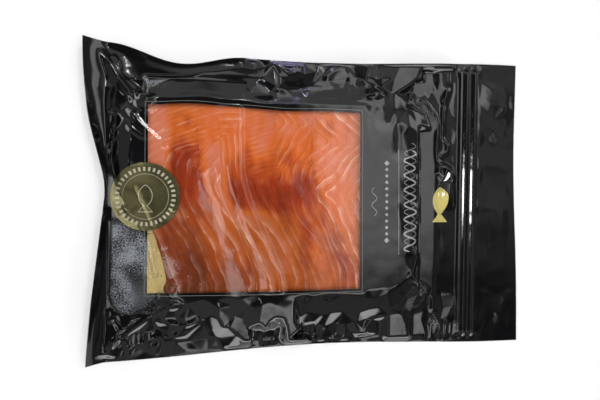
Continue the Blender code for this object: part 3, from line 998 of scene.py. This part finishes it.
def film_print(tree, x, y):
    """Ink shares of the grey print, the window line and the gold fish."""
    left, bottom, right, top = WINDOW
    middle = ((left + right) / 2, (bottom + top) / 2)
    half = ((right - left) / 2 + WINDOW_LINE_GAP, (top - bottom) / 2 + WINDOW_LINE_GAP)
    grey = [box_shape((place, 0.0), RULE_HALF) for place in RULES]
    second = (TWIST_PLACE[0], TWIST_PLACE[1] + TWIST["length"] / 2)
    grey += [wave_shape(TWIST_PLACE, width=1.0, **TWIST), wave_shape(second, width=0.3, **TWIST)]
    for step in range(-LOZENGES_EACH_SIDE, LOZENGES_EACH_SIDE + 1):
        size = 1.7 if abs(step) == LOZENGES_EACH_SIDE else 1.15
        grey.append(lozenge_shape((LOZENGE_X, LOZENGE_PITCH * step), size))
    grey.append(wave_shape(SHORT_WAVE_PLACE, 8.5, 8.5, 1.6, 0.3))
    window_line = outline_shape(box_shape(middle, half), WINDOW_LINE_WIDTH)
    fish = fish_shape(GOLD_FISH_PLACE, 22.0, 10.0)
    return [print_mask(tree, x, y, shapes) for shapes in (grey, [window_line], [fish])]


def black_film_material():
    """Laminate with a gloss polyester face over black ink: nearly black, with
    a crisp clear reflection that the folds break up. Where it is drawn down on
    the card it takes the card's grain as bumps, and silvery specks that stand
    in for the grain's glints are painted into its colour there."""
    film = bpy.context.scene.pack_film
    made, tree = new_material("gloss_black_laminate")
    spot = node(tree, "TexCoord", give="Object")
    bare = node(tree, "Attribute", attribute_name="bare", give="Fac")
    # painted glint specks where the card shows, thicker in some places than in others
    fine = node(tree, "TexNoise", Vector=spot, Scale=1 / (0.75 * MM), Detail=3.0, Roughness=0.7)
    broad = node(tree, "TexNoise", Vector=spot, Scale=1 / (14.0 * MM), Detail=1.0)
    painted_glint_speck = node(tree, "MapRange", node(tree, "MULTIPLY_ADD", broad, 0.7, fine), 0.78, 1.0)
    painted_glint_share = node(tree, "MULTIPLY", painted_glint_speck, node(tree, "POWER", bare, 2.0))
    # the print, laid over the black in order, and the painted glint specks last
    x, y = sheet_millimetres(tree, 2 * HALF_LENGTH, 2 * HALF_WIDTH)
    ink, line, gold = film_print(tree, x, y)
    colour = rgba(film.black)
    for share, layer in ((line, film.line), (ink, film.ink), (gold, film.gold_ink), (painted_glint_share, film.painted_glint_speck)):
        colour = node(tree, "Mix", share, colour, rgba(layer), data_type="RGBA")
    # the card's grain pressed into the film, under broad ripples
    grain = node(tree, "TexNoise", Vector=spot, Scale=1 / (1.1 * MM), Roughness=0.6)
    pressed = node(tree, "MULTIPLY", grain, bare)
    pitted = node(tree, "Bump", Strength=1.0, Distance=0.36 * MM, Height=pressed)
    ripple = node(tree, "TexNoise", Vector=spot, Scale=1 / (9.0 * MM))
    normal = node(tree, "Bump", Strength=0.25, Distance=0.25 * MM, Height=ripple, Normal=pitted)
    rough = node(tree, "MapRange", ripple, 0.35, 0.7, 0.07, 0.13)
    shader = node(tree, "BsdfPrincipled", Base_Color=colour, Roughness=rough, IOR=1.5, Normal=normal)
    node(tree, "OutputMaterial", shader, give=None)
    return made


def clear_film_material():
    """Polyester and polythene without ink: invisible but for its gloss, which
    grows towards grazing angles."""
    made, tree = new_material("clear_laminate")
    spot = node(tree, "TexCoord", give="Object")
    ripple = node(tree, "TexNoise", Vector=spot, Scale=1 / (6.0 * MM))
    normal = node(tree, "Bump", Strength=0.3, Distance=0.25 * MM, Height=ripple)
    gloss = node(tree, "BsdfGlossy", Color=rgba((1.0, 1.0, 1.0)), Roughness=0.06, Normal=normal)
    clear = node(tree, "BsdfTransparent", Color=rgba((0.99, 0.985, 0.98)))
    share = node(tree, "Fresnel", IOR=1.30, Normal=normal)
    shader = node(tree, "MixShader", share, clear, gloss)
    node(tree, "OutputMaterial", shader, give=None)
    return made


def fish_material():
    """Cold-smoked salmon: moist flesh that light enters a few millimetres, so
    colour runs from pale pink through orange to brown red with thickness, and
    thin pale lines of fat between the muscles. Each line is sharp, fades out
    on one side of it, and is broken here and there."""
    fish = bpy.context.scene.pack_fish
    made, tree = new_material("cold_smoked_salmon")
    spot = node(tree, "TexCoord", give="Object")
    tone, phase, fat, shade = (node(tree, "Attribute", attribute_name=name, give="Fac")
                               for name in ("tone", "phase", "fat", "shade"))
    broad = node(tree, "TexNoise", Vector=spot, Scale=1 / (9.0 * MM), Detail=3.0)
    # colour of the flesh, drawn out along the muscles
    x, y, _ = node(tree, "SeparateXYZ", spot, give=None).outputs
    along = node(tree, "MULTIPLY", node(tree, "ADD", x, y), 0.12 / MM)
    drawn = node(tree, "CombineXYZ", node(tree, "MULTIPLY", phase, 6.5), along)
    grain = node(tree, "TexNoise", Vector=drawn, Scale=0.9, Detail=3.0)
    shift = node(tree, "SUBTRACT", node(tree, "MULTIPLY_ADD", broad, 0.34, -0.17), 0.25)
    shift = node(tree, "MULTIPLY_ADD", grain, 0.5, shift)
    ramp = node(tree, "ValToRGB", node(tree, "ADD", tone, shift), stops=(
        (0.0, fish.pale), (1.0, fish.brown), (0.3, fish.orange), (0.64, fish.red)))
    # darker towards the lower ends of the slices: mixed towards the tan colour by the shade field
    darkening = node(tree, "MULTIPLY", shade, 0.75)
    flesh = node(tree, "Mix", darkening, ramp, rgba(fish.tan), data_type="RGBA")
    # lines of fat, one at each whole number of the phase
    wobble = node(tree, "MULTIPLY_ADD", broad, 0.5, phase)
    line = node(tree, "MapRange", node(tree, "PINGPONG", wobble, 0.5), 0.11, 0.02, 0.0, 0.75)
    fade = node(tree, "MapRange", node(tree, "FRACT", wobble), 0.5, 0.05, 0.0, 0.38)
    own = node(tree, "TexWhiteNoise", node(tree, "ROUND", wobble), noise_dimensions="1D")
    gaps = node(tree, "TexNoise", Vector=spot, Scale=1 / (7.0 * MM), Detail=1.0)
    share = node(tree, "MAXIMUM", fade, line)
    for part in (fat, node(tree, "MapRange", gaps, 0.36, 0.56, 0.15, 1.0),
                 node(tree, "MapRange", own, 0.0, 1.0, 0.25, 1.0)):
        share = node(tree, "MULTIPLY", share, part)
    colour = node(tree, "Mix", share, flesh, rgba(fish.fat), data_type="RGBA")
    fibre = node(tree, "TexNoise", Vector=spot, Scale=1 / (1.6 * MM), Detail=3.0)
    height = node(tree, "MULTIPLY_ADD", share, -0.5, fibre)
    normal = node(tree, "Bump", Strength=0.35, Distance=0.3 * MM, Height=height)
    shader = node(tree, "BsdfPrincipled", Base_Color=colour, Roughness=0.45, IOR=1.2, Normal=normal,
                  Subsurface_Weight=0.1, Subsurface_Radius=(1.0, 0.35, 0.15), Subsurface_Scale=1.2 * MM)
    node(tree, "OutputMaterial", shader, give=None)
    return made


def gold_card_material():
    """Metallised polyester on board, embossed with a fine leather grain that
    breaks its shine into small glints."""
    card = bpy.context.scene.pack_card
    made, tree = new_material("metallised_gold_board")
    spot = node(tree, "TexCoord", give="Object")
    cells = node(tree, "TexVoronoi", Vector=spot, Scale=1 / card.grain)
    patchy = node(tree, "TexNoise", Vector=spot, Scale=1 / (3 * card.grain), Detail=3.0)
    normal = node(tree, "Bump", Strength=0.55, Distance=0.25 * MM, Height=node(tree, "ADD", cells, patchy))
    rough = node(tree, "MapRange", patchy, 0.3, 0.7, 0.25, 0.45)
    shader = node(tree, "BsdfPrincipled", Base_Color=rgba(card.gold), Metallic=0.75, Roughness=rough,
                  Normal=normal)
    node(tree, "OutputMaterial", shader, give=None)
    return made


# Print on the seal: radius and width of the ring of ticks and of the thin
# ring, and the number of ticks.
TICK_RING = (15.4, 2.2)
THIN_RING = (12.6, 0.25)
TICKS = 36.0


def ring_share(tree, radius, place, width, amount):
    """Share of ink of a ring with its middle at a radius."""
    away = node(tree, "SUBTRACT", apart(tree, radius, place), width / 2)
    return ink_share(tree, away, amount)


def seal_foil_material():
    """Brushed olive-gold foil paper with printed rings, ticks and a fish."""
    seal = bpy.context.scene.pack_seal
    made, tree = new_material("olive_gold_foil")
    x, y = sheet_millimetres(tree, 2 * SEAL_RADIUS, 2 * SEAL_RADIUS)
    radius = node(tree, "SQRT", node(tree, "MULTIPLY_ADD", x, x, node(tree, "MULTIPLY", y, y)))
    turns = node(tree, "MULTIPLY", node(tree, "ARCTAN2", y, x), TICKS)
    tick = node(tree, "GREATER_THAN", node(tree, "SINE", turns), 0.1)
    ink = node(tree, "MULTIPLY", tick, ring_share(tree, radius, *TICK_RING, 0.7))
    ink = node(tree, "MAXIMUM", ink, ring_share(tree, radius, *THIN_RING, 0.6))
    fish = outline_shape(fish_shape((0.0, 0.5), 15.0, 7.5), 0.4)
    ink = node(tree, "MAXIMUM", ink, ink_share(tree, fish(tree, x, y), 0.7))
    colour = node(tree, "Mix", ink, rgba(seal.foil), rgba(seal.print_colour), data_type="RGBA")
    metal = node(tree, "MULTIPLY_ADD", ink, -1.0, 0.88)
    spot = node(tree, "TexCoord", give="Object")
    brushed = node(tree, "TexNoise", Vector=spot, Scale=1 / (2.5 * MM), Detail=4.0)
    rough = node(tree, "MapRange", brushed, 0.3, 0.7, 0.14, 0.22)
    normal = node(tree, "Bump", Strength=0.1, Distance=0.15 * MM, Height=brushed)
    shader = node(tree, "BsdfPrincipled", Base_Color=colour, Metallic=metal, Roughness=rough, Normal=normal)
    node(tree, "OutputMaterial", shader, give=None)
    return made


def strip_material():
    """Extruded polythene profile, milky and waxy, dyed dark, with fine lines
    drawn along it."""
    made, tree = new_material("dark_polythene_profile")
    spot = node(tree, "TexCoord", give="Object")
    drawn = node(tree, "Mapping", Vector=spot, Scale=(1.0, 0.05, 1.0))
    streak = node(tree, "TexNoise", Vector=drawn, Scale=1 / (1.0 * MM))
    rough = node(tree, "MapRange", streak, 0.3, 0.7, 0.25, 0.4)
    shader = node(tree, "BsdfPrincipled", Base_Color=rgba(linear("202022")), Roughness=rough)
    node(tree, "OutputMaterial", shader, give=None)
    return made


def floor_material():
    """Matt seamless paper: pale and even."""
    stage = bpy.context.scene.pack_stage
    made, tree = new_material("seamless_paper")
    spot = node(tree, "TexCoord", give="Object")
    tooth = node(tree, "TexNoise", Vector=spot, Scale=1 / (2.5 * MM))
    normal = node(tree, "Bump", Strength=0.05, Distance=0.1 * MM, Height=tooth)
    shader = node(tree, "BsdfPrincipled", Base_Color=rgba(stage.floor), Roughness=0.9, Normal=normal)
    node(tree, "OutputMaterial", shader, give=None)
    return made


# ---------------------------------------------------------------- fish fields

# The last two slices look alike, so in these lists the sixth entry is for both.

# Fat lines of each slice follow row + bend(y) = constant. A bend is the list
# of its corner points (y, bend): steep means nearly level lines, a change of
# sign is the point of a chevron.
FAT_BENDS = (
    ((-60, 0), (12, 8), (60, -50)),
    ((-60, 0), (5, 6), (28, -6), (60, -88)),
    ((-60, 0), (8, 8), (34, -10), (60, -76)),
    ((-60, 0), (3, 9), (60, 9)),
    ((-60, 0), (6, 10), (20, 4), (46, -14), (60, 2)),
    ((-60, 0), (-2, 14), (4, 20), (36, -14), (60, 12)),
)
FAT_SPACING = (6.5, 7.0, 7.0, 7.4, 5.6, 7.2)
TURN_Y = 14.0
TURN_ROW = -46.0

# Depth of colour of each slice from its lower end to its upper end, as
# (y, tone) points: 0 is pale pink, a third orange, two thirds red, 1 brown.
TONES = (
    ((-60, 0.78), (-30, 0.68), (-12, 0.5), (8, 0.12), (30, 0.06), (60, 0.06)),
    ((-60, 0.54), (-30, 0.48), (-12, 0.44), (0, 0.56), (8, 0.60), (28, 0.58), (40, 0.32), (60, 0.22)),
    ((-60, 0.45), (-40, 0.38), (-20, 0.3), (-4, 0.22), (18, 0.08), (28, 0.08), (38, 0.20), (60, 0.2)),
    ((-60, 0.40), (-25, 0.26), (-8, 0.28), (-4, 0.62), (9, 0.64), (20, 0.42), (32, 0.24), (42, 0.18),
     (60, 0.16)),
    ((-60, 0.32), (-30, 0.34), (-12, 0.5), (4, 0.56), (18, 0.42), (34, 0.27), (44, 0.12), (60, 0.14)),
    ((-60, 0.36), (-30, 0.32), (-10, 0.22), (5, 0.14), (25, 0.11), (36, 0.12), (60, 0.14)),
)

# Uneven colour from place to place: centre, half size, change of tone.
PATCHES = (
    ((-80, 18), (9, 15), 0.10),
    ((-95, 40), (7, 15), -0.16),
    ((-84, 45), (8, 8), 0.08),
    ((-62, 12), (6, 20), -0.08),
    ((-38, 32), (5, 9), -0.16),
    ((-47, 24), (6, 7), 0.16),
    ((-24, 30), (7, 9), 0.12),
    ((-40, 4), (12, 8), 0.10),
    ((-28, -28), (9, 14), -0.14),
    ((-22, -12), (5, 9), 0.22),
    ((-9, -28), (4, 12), 0.20),
    ((-14, 8), (9, 10), 0.16),
    ((4, 42), (6, 7), 0.24),
    ((-62, -20), (9, 20), -0.06),
    ((-48, -44), (12, 6), 0.10),
    ((10, -38), (6, 14), 0.06),
)

# Darkening of each slice towards the tan colour, as (y, share) points: 0 none, 1 full.
SHADES = (
    ((-60, 1.0), (-35, 0.9), (-12, 0.6), (8, 0.1), (30, 0.0)),
    ((-60, 0.8), (-35, 0.6), (-12, 0.45), (5, 0.15), (30, 0.05)),
    ((-60, 0.7), (-30, 0.5), (-5, 0.3), (15, 0.1), (30, 0.0)),
    ((-60, 0.55), (-25, 0.5), (-8, 0.45), (-3, 0.15), (30, 0.0)),
    ((-60, 0.35), (-25, 0.25), (-8, 0.1), (6, 0.05), (30, 0.0)),
    ((-60, 0.4), (-25, 0.3), (-8, 0.08), (6, 0.0), (30, 0.0)),
)


def kind_of(index):
    """Entry of the lists above for a slice."""
    return min(index, len(TONES) - 1)


def fat_phase(index, row, y):
    """Number of fat lines passed, counted across the slice. The lines of the
    fourth slice turn above TURN_Y: nested corners left of TURN_ROW, nearly
    level lines beside them."""
    phase = (row + curve_through(FAT_BENDS[kind_of(index)], y, 1.2)) / FAT_SPACING[kind_of(index)]
    if index == 3:
        nested = np.maximum((y - 36.0) / 3.7, (row + 58.0) / 3.4)
        level = (y - 0.3 * row) / 2.9
        phase = np.where(y > TURN_Y, np.where(row < TURN_ROW, nested, level), phase)
    return phase + 0.42 * noise(row, y, 16.0, 40 + index) + 0.07 * noise(row, y, 4.0, 45 + index)


def slice_tone(index, row, y):
    """Depth of colour, uneven from place to place."""
    tone = curve_through(TONES[kind_of(index)], y, 1.5)
    tone = tone + 0.13 * noise(row, y * 0.6, 9.0, 60 + index) + 0.08 * noise(row, y * 0.4, 3.5, 65 + index)
    x = row + lean(row, y)
    if index >= 5:
        border = x - np.interp(y, (-52, -30, -12, 0, 10, 20, 60), (26, 17, 8, 2, -2, -5, -5))
        deeper = 0.2 + 0.22 * smooth(-14.0, 0.0, y)
        tone = tone + deeper * smooth(2.5, -1.5, border) * smooth(27.0, 18.0, y)
    for (centre_x, centre_y), (half_x, half_y), change in PATCHES:
        tone = tone + change * smooth(1.5, 0.4, np.hypot((x - centre_x) / half_x, (y - centre_y) / half_y))
    return tone


def blended(formula, index, row, y, side):
    """A slice's formula, blended at its edge with that of the slice before."""
    own = formula(index, row, y)
    if index == 0:
        return own
    return own + (formula(index - 1, row, y) - own) * smooth(5.0, 0.0, side) * 0.7


def slice_shade(index, row, y):
    """Share of darkening towards the tan colour, uneven from place to place."""
    patchy = 0.16 * noise(row, y, 14.0, 50 + index) + 0.1 * noise(row, y * 0.7, 5.0, 75 + index)
    darkening = curve_through(SHADES[kind_of(index)], y, 2.0)
    return np.clip(darkening + patchy * smooth(14.0, -5.0, y), 0.0, 1.0)


def fat_strength(index, row, y):
    """Strength of the fat lines. They fade out in the dark muscle along the
    middle, at the lower left, and where the lines of the fourth slice turn."""
    middle = hump(y, 8.0, 20.0) if index == 1 else hump(y, 5.0, 15.0) if index in (3, 4) else 0.0
    fine = 0.85 if index in (1, 2) else 1.0
    strength = (1.0 - 0.95 * middle) * (1.0 + (fine - 1.0) * smooth(18.0, 32.0, y))
    strength = strength * (0.7 + 0.5 * noise(row, y, 11.0, 55 + index)) * (1.5 if index > 4 else 1.1)
    if index < 2:
        loss = 0.3 * smooth(0.0, -12.0, y) * (index == 0) + 0.1 * smooth(0.0, -20.0, y)
        strength = strength * (1.0 - loss)
    if index == 3:
        above = y > TURN_Y
        beside = np.where(above, smooth(0.0, 2.5, np.abs(row - TURN_ROW)), 1.0)
        strength = strength * smooth(0.0, 5.0, np.abs(y - TURN_Y)) * beside
        strength = strength * np.where(above & (row > TURN_ROW), 0.35, 1.0)
    return np.clip(strength, 0.0, 1.4)


def bare_card(column, row):
    """How much of the card's grain shows through the film, as pressed bumps and
    painted glint specks: where the card is bare at the lower left, and in the
    corners of BARE_CORNERS."""
    bare = smooth(0.5, 2.5, card_inside(column, row)) * smooth(-4.0, -7.0, fish_inside(column, row))
    bare = bare * smooth(-80.0, -95.0, column) * smooth(-8.0, -15.0, row)
    bare = bare * (1.0 - 0.6 * smooth(-36.0, -50.0, row) * smooth(-111.0, -105.0, column))
    for strength, corners in BARE_CORNERS:
        bare = np.maximum(bare, strength * smooth(-1.0, 1.5, outline_room(column, row, corners)))
    return bare


# ----------------------------------------------------------------- operators

class PACK_OT_films(bpy.types.Operator):
    """Black printed front film and its clear window"""
    bl_idname = "pack.films"
    bl_label = "Front film and window"

    def execute(self, context):
        columns, rows = film_lines(context.scene.pack_film.step / MM)
        column, row = np.meshgrid(columns, rows, indexing="ij")
        under = kept_in(front_points(column, row))
        over = kept_in(under + upward(under) * FRONT_THICK)
        left, bottom, right, top = WINDOW
        middle_x, middle_y = (columns[:-1] + columns[1:]) / 2, (rows[:-1] + rows[1:]) / 2
        hole = np.outer((middle_x > left) & (middle_x < right), (middle_y > bottom) & (middle_y < top))
        sheet = sheet_place(column, row)
        film = slab("printed_film", over, under, ~hole, {"bare": bare_card(column, row)}, sheet)
        finish_piece(film, black_film_material(), "black_film", "front_film")
        pane = slab("clear_window", over, under, hole, None, sheet)
        finish_piece(pane, clear_film_material(), "clear_film", "window_film")
        return {"FINISHED"}


class PACK_OT_back(bpy.types.Operator):
    """Black back film, flat where the pack rests"""
    bl_idname = "pack.back"
    bl_label = "Back film"

    def execute(self, context):
        columns, rows = (np.append(np.arange(-half, half, BACK_STEP), half)
                         for half in (HALF_LENGTH, HALF_WIDTH))
        column, row = np.meshgrid(columns, rows, indexing="ij")
        under = seal_surface(column, row)
        off_card = smooth(1.0, -6.0, card_inside(column, row))
        off_seal = smooth(0.0, 10.0, room_to_edge(column, row)) * smooth(-130.0, TURN_UP_FROM, column)
        under[..., 2] += 0.16 * (noise(column, row, 17.0, 31) + 1.0) * off_card * off_seal
        over = kept_in(under + upward(under) * BACK_THICK)
        film = slab("back_film_skin", over, under, None, {"bare": np.zeros(column.shape)},
                    np.zeros((*column.shape, 2)))
        finish_piece(film, black_film_material(), "black_film", "back_film")
        return {"FINISHED"}


class PACK_OT_slices(bpy.types.Operator):
    """Seven shingled slices with fat lines and uneven edges"""
    bl_idname = "pack.slices"
    bl_label = "Salmon slices"

    def execute(self, context):
        step = context.scene.pack_fish.step / MM
        material = fish_material()
        for index, (first, last) in enumerate(SLICE_EDGES[:SLICE_COUNT]):
            across = np.linspace(0.0, 1.0, round((last - first) / step) + 1)
            along = np.linspace(0.0, 1.0, round((FISH_TOP - FISH_BOTTOM) / step) + 1)
            share, rise = np.meshgrid(across, along, indexing="ij")
            low_end, high_end = fish_ends(first + (last - first) * share)
            y = low_end + (high_end - low_end) * rise
            level = np.zeros(y.shape)
            ragged = 1.1 * noise(y, level, 15.0, 70 + index) + 0.4 * noise(y, level, 4.0, 80 + index)
            if index == 0:
                ragged = ragged * 0.5 - 3.0 * smooth(-15.0, -42.0, y) - 1.8 * hump(y, -50.0, 5.0)
            edges = (first, last)
            row = first + ragged * (1.0 - share) ** 2 + (last - first) * share
            held = np.clip(row, first, last)
            under = slice_underside(index, row, y)
            thick = slice_thickness(edges, held, y)
            side = np.minimum(share, 1.0 - share) * (last - first)
            relief = 0.08 * noise(row, y, 5.0, 90 + index) * smooth(0.0, 3.0, side)
            rounded = np.sqrt(np.clip(side / 0.9, 0.0, 1.0))
            top = under + thick * (0.35 + 0.65 * rounded) + relief
            x = row + lean(row, y)
            fields = {"tone": blended(slice_tone, index, row, y, row - first),
                      "shade": blended(slice_shade, index, row, y, row - first),
                      "phase": fat_phase(index, row, y),
                      "fat": fat_strength(index, row, y)}
            piece = slab(f"salmon_fine_{index + 1}", np.stack([x, y, top], axis=-1),
                         np.stack([x, y, under], axis=-1), None, fields)
            finish_piece(piece, material, "salmon", f"salmon_slice_{index + 1}")
        return {"FINISHED"}


class PACK_OT_card(bpy.types.Operator):
    """Finish of the gold card and the press-to-close strip"""
    bl_idname = "pack.card"
    bl_label = "Card and strip"

    def execute(self, context):
        for name, material in (("board", gold_card_material()), ("zip_strip", strip_material())):
            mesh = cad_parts[name].data
            mesh.materials.clear()
            mesh.materials.append(material)
        return {"FINISHED"}


class PACK_OT_seal(bpy.types.Operator):
    """Round foil seal draped over the window's left edge"""
    bl_idname = "pack.seal"
    bl_label = "Foil seal"

    def execute(self, context):
        rings = context.scene.pack_seal.rings
        radius, angle = np.meshgrid(np.linspace(0.02, SEAL_RADIUS, rings),
                                    np.linspace(0.0, 2 * math.pi, SEAL_CORNERS + 1), indexing="ij")
        x = SEAL_CENTRE[0] + radius * np.cos(angle)
        y = SEAL_CENTRE[1] + radius * np.sin(angle)
        height = film_height(x, y, x, room_to_edge(x, y)) + FRONT_THICK + SEAL_AIR
        under = np.stack([x, y, height], axis=-1)
        over = under + np.array([0.0, 0.0, SEAL_THICK])
        sheet = np.stack([(x - SEAL_CENTRE[0]) / (2 * SEAL_RADIUS) + 0.5,
                          (y - SEAL_CENTRE[1]) / (2 * SEAL_RADIUS) + 0.5], axis=-1)
        piece = slab("foil_seal", over, under, None, None, sheet)
        finish_piece(piece, seal_foil_material(), "seal_foil", "sticker")
        return {"FINISHED"}


class PACK_OT_stage(bpy.types.Operator):
    """Floor, lights and camera"""
    bl_idname = "pack.stage"
    bl_label = "Stage"

    def execute(self, context):
        build_floor()
        build_room(context.scene.pack_stage.room)
        build_lights()
        build_camera(context.scene.pack_stage.lens)
        context.scene.view_settings.view_transform = "Standard"
        return {"FINISHED"}


# --------------------------------------------------------------------- stage

# Camera, from the angle that shows the pack a little from its left.
CAMERA_PLACE = (-0.10183, -0.00297, 0.36125)
CAMERA_AIM = (-0.01133, 0.00081, 0.0)
CAMERA_UP = (-0.006, 1.0, 0.009)

# The studio ceiling as (span along X, span along Y, brightness). A span gives
# where a soft patch starts, is full, is still full and ends, on a ceiling 1
# unit up, so 1 is 45 degrees off overhead.
CEILING = (
    ((0.27, 0.37, 0.52, 0.55), (-0.23, 0.02, 0.50, 0.90), 2.3),
    ((0.02, 0.16, 0.46, 0.53), (-0.48, -0.38, -0.26, -0.205), 3.3),
    ((0.38, 0.42, 0.49, 0.53), (-0.30, -0.26, -0.22, -0.19), 2.2),
    ((-0.08, -0.06, -0.015, 0.0), (-0.19, -0.16, 0.04, 0.07), 4.2),
    ((-0.80, -0.50, 0.10, 0.30), (-1.60, -1.20, -0.36, -0.22), 0.5),
    ((1.30, 1.70, 3.00, 4.00), (0.25, 0.50, 1.40, 2.00), 2.5),
    ((0.25, 0.38, 0.60, 0.90), (-1.60, -1.30, -0.65, -0.50), 0.35),
    ((0.42, 0.46, 0.54, 0.60), (0.12, 0.18, 0.28, 0.36), 1.1),
    ((0.56, 0.63, 0.80, 0.90), (-0.22, 0.10, 0.35, 0.50), 0.5),
    ((-1.00, -0.60, 0.80, 1.20), (0.30, 0.60, 1.25, 1.60), 0.8),
    ((-2.00, -1.60, -0.80, -0.50), (-1.20, -0.80, 0.80, 1.20), 0.35),
    ((0.80, 1.00, 1.60, 2.00), (-1.20, -0.80, 0.80, 1.20), 0.2),
)
CEILING_BASE = 0.06

# Skyline: the height of view where it starts and where it is full, 1 being
# straight up, and its brightness.
SKYLINE = ((0.46, 0.28), 5.0)

# Small gridded lamps as (place, aim, size, spread in degrees, brightness, colour).
LAMPS = (
    ((-0.42, 0.045, 0.90), (0.095, 0.012, 0.0), (0.11, 0.17), 17.0, 60.0, "ffffff"),
    ((0.10, 0.48, 0.90), (-0.108, 0.045, 0.0), (0.10, 0.10), 12.0, 40.0, "ffffff"),
    ((0.051, 0.235, 0.28), (-0.019, 0.081, 0.0), (0.045, 0.034), 7.0, 16.0, "c4baff"),
    ((0.058, 0.318, 0.28), (-0.018, 0.081, 0.0), (0.050, 0.034), 7.0, 16.0, "c4baff"),
    ((0.042, 0.322, 0.24), (-0.016, 0.077, 0.0), (0.040, 0.040), 4.0, 45.0, "f0ecff"),
)

# Broad soft fill as (place, size, watts). The film doesn't mirror it.
FILL = ((-0.25, 0.0, 0.90), 0.7, 2.3)


def build_floor():
    """Large flat sheet just under the pack."""
    bpy.ops.mesh.primitive_grid_add(x_subdivisions=8, y_subdivisions=8, size=4.0, location=(0, 0, -0.0002))
    floor = bpy.context.object
    floor.name = "floor"
    floor.data.materials.append(floor_material())


def build_room(strength):
    """Studio around the pack: dim overhead with soft bright patches that the
    film mirrors, and a skyline that is bright towards -X and -Y and dark
    towards +X and +Y."""
    world = bpy.data.worlds.new("studio")
    world.use_nodes = True
    tree = world.node_tree
    tree.nodes.clear()
    facing = node(tree, "TexCoord", give="Generated")
    x, y, z = node(tree, "SeparateXYZ", facing, give=None).outputs
    up = node(tree, "MAXIMUM", z, 0.02)
    along, across = (node(tree, "DIVIDE", part, up) for part in (x, y))
    (high, low), brightness = SKYLINE
    away = node(tree, "MULTIPLY_ADD", y, 0.8, x)
    side = node(tree, "MapRange", away, -0.1, 0.6, brightness, 0.04 * brightness)
    total = node(tree, "MapRange", z, high, low, CEILING_BASE, side, interpolation_type="SMOOTHSTEP")
    for span_x, span_y, power in CEILING:
        patch = power
        for place, (start, full, still, end) in ((along, span_x), (across, span_y)):
            for off, on in ((start, full), (end, still)):
                share = node(tree, "MapRange", place, off, on, interpolation_type="SMOOTHSTEP")
                patch = node(tree, "MULTIPLY", patch, share)
        total = node(tree, "ADD", total, patch)
    total = node(tree, "MULTIPLY", total, strength)
    glow = node(tree, "Background", Color=rgba((1.0, 1.0, 1.0)), Strength=total)
    node(tree, "OutputWorld", glow, give=None)
    bpy.context.scene.world = world


def add_lamp(name, place, aim, size, watts):
    """Rectangular area lamp at a place, facing an aim."""
    data = bpy.data.lights.new(name, "AREA")
    data.shape = "RECTANGLE"
    data.size, data.size_y = size
    data.energy = watts
    lamp = bpy.data.objects.new(name, data)
    bpy.context.scene.collection.objects.link(lamp)
    lamp.location = place
    lamp.rotation_euler = (Vector(place) - Vector(aim)).to_track_quat("Z", "Y").to_euler()
    return lamp


def build_lights():
    """Small lamps whose mirror images are the white glints on the folds, and
    a broad fill. A grid narrows each small lamp's beam, and its watts keep
    the brightness seen along its axis: pi * area * (1 - h / tan h), h being
    half the spread."""
    for number, (place, aim, size, spread, brightness, colour) in enumerate(LAMPS):
        half = math.radians(spread) / 2
        watts = brightness * math.pi * size[0] * size[1] * (1.0 - half / math.tan(half))
        lamp = add_lamp(f"lamp_{number + 1}", place, aim, size, watts)
        lamp.data.spread = 2 * half
        lamp.data.color = linear(colour)
    place, size, watts = FILL
    fill = add_lamp("fill", place, (0.0, 0.0, 0.0), (size, size), watts)
    fill.visible_glossy = False


def build_camera(lens):
    """Camera turned to its aim, with its own up direction."""
    data = bpy.data.cameras.new("camera")
    data.lens = lens
    data.sensor_width = 36.0
    data.clip_start = 0.01
    camera = bpy.data.objects.new("camera", data)
    bpy.context.scene.collection.objects.link(camera)
    back = (Vector(CAMERA_PLACE) - Vector(CAMERA_AIM)).normalized()
    right = Vector(CAMERA_UP).cross(back).normalized()
    turned = Matrix((right, back.cross(right), back)).transposed().to_4x4()
    camera.matrix_world = Matrix.Translation(CAMERA_PLACE) @ turned
    bpy.context.scene.camera = camera


# ------------------------------------------------------------ add-on and run

class PACK_PT_panel(bpy.types.Panel):
    """Steps that build the pack"""
    bl_label = "Salmon Pack"
    bl_space_type = "VIEW_3D"
    bl_region_type = "UI"
    bl_category = "Salmon Pack"

    def draw(self, context):
        for operator in OPERATORS:
            self.layout.operator(operator.bl_idname)


OPERATORS = (PACK_OT_stage, PACK_OT_card, PACK_OT_slices, PACK_OT_back, PACK_OT_films, PACK_OT_seal)


def register():
    """Add the settings to the scene, and the operators and panel to Blender."""
    for group in SETTINGS.values():
        bpy.utils.register_class(group)
    for name, group in SETTINGS.items():
        setattr(bpy.types.Scene, name, PointerProperty(type=group))
    for item in (*OPERATORS, PACK_PT_panel):
        bpy.utils.register_class(item)


def unregister():
    """Take away what register added."""
    for item in (PACK_PT_panel, *reversed(OPERATORS)):
        bpy.utils.unregister_class(item)
    for name, group in SETTINGS.items():
        delattr(bpy.types.Scene, name)
        bpy.utils.unregister_class(group)


def main():
    """Build the whole pack."""
    register()
    bpy.ops.pack.stage()
    bpy.ops.pack.card()
    bpy.ops.pack.slices()
    bpy.ops.pack.back()
    bpy.ops.pack.films()
    bpy.ops.pack.seal()


if __name__ == "__main__":
    main()
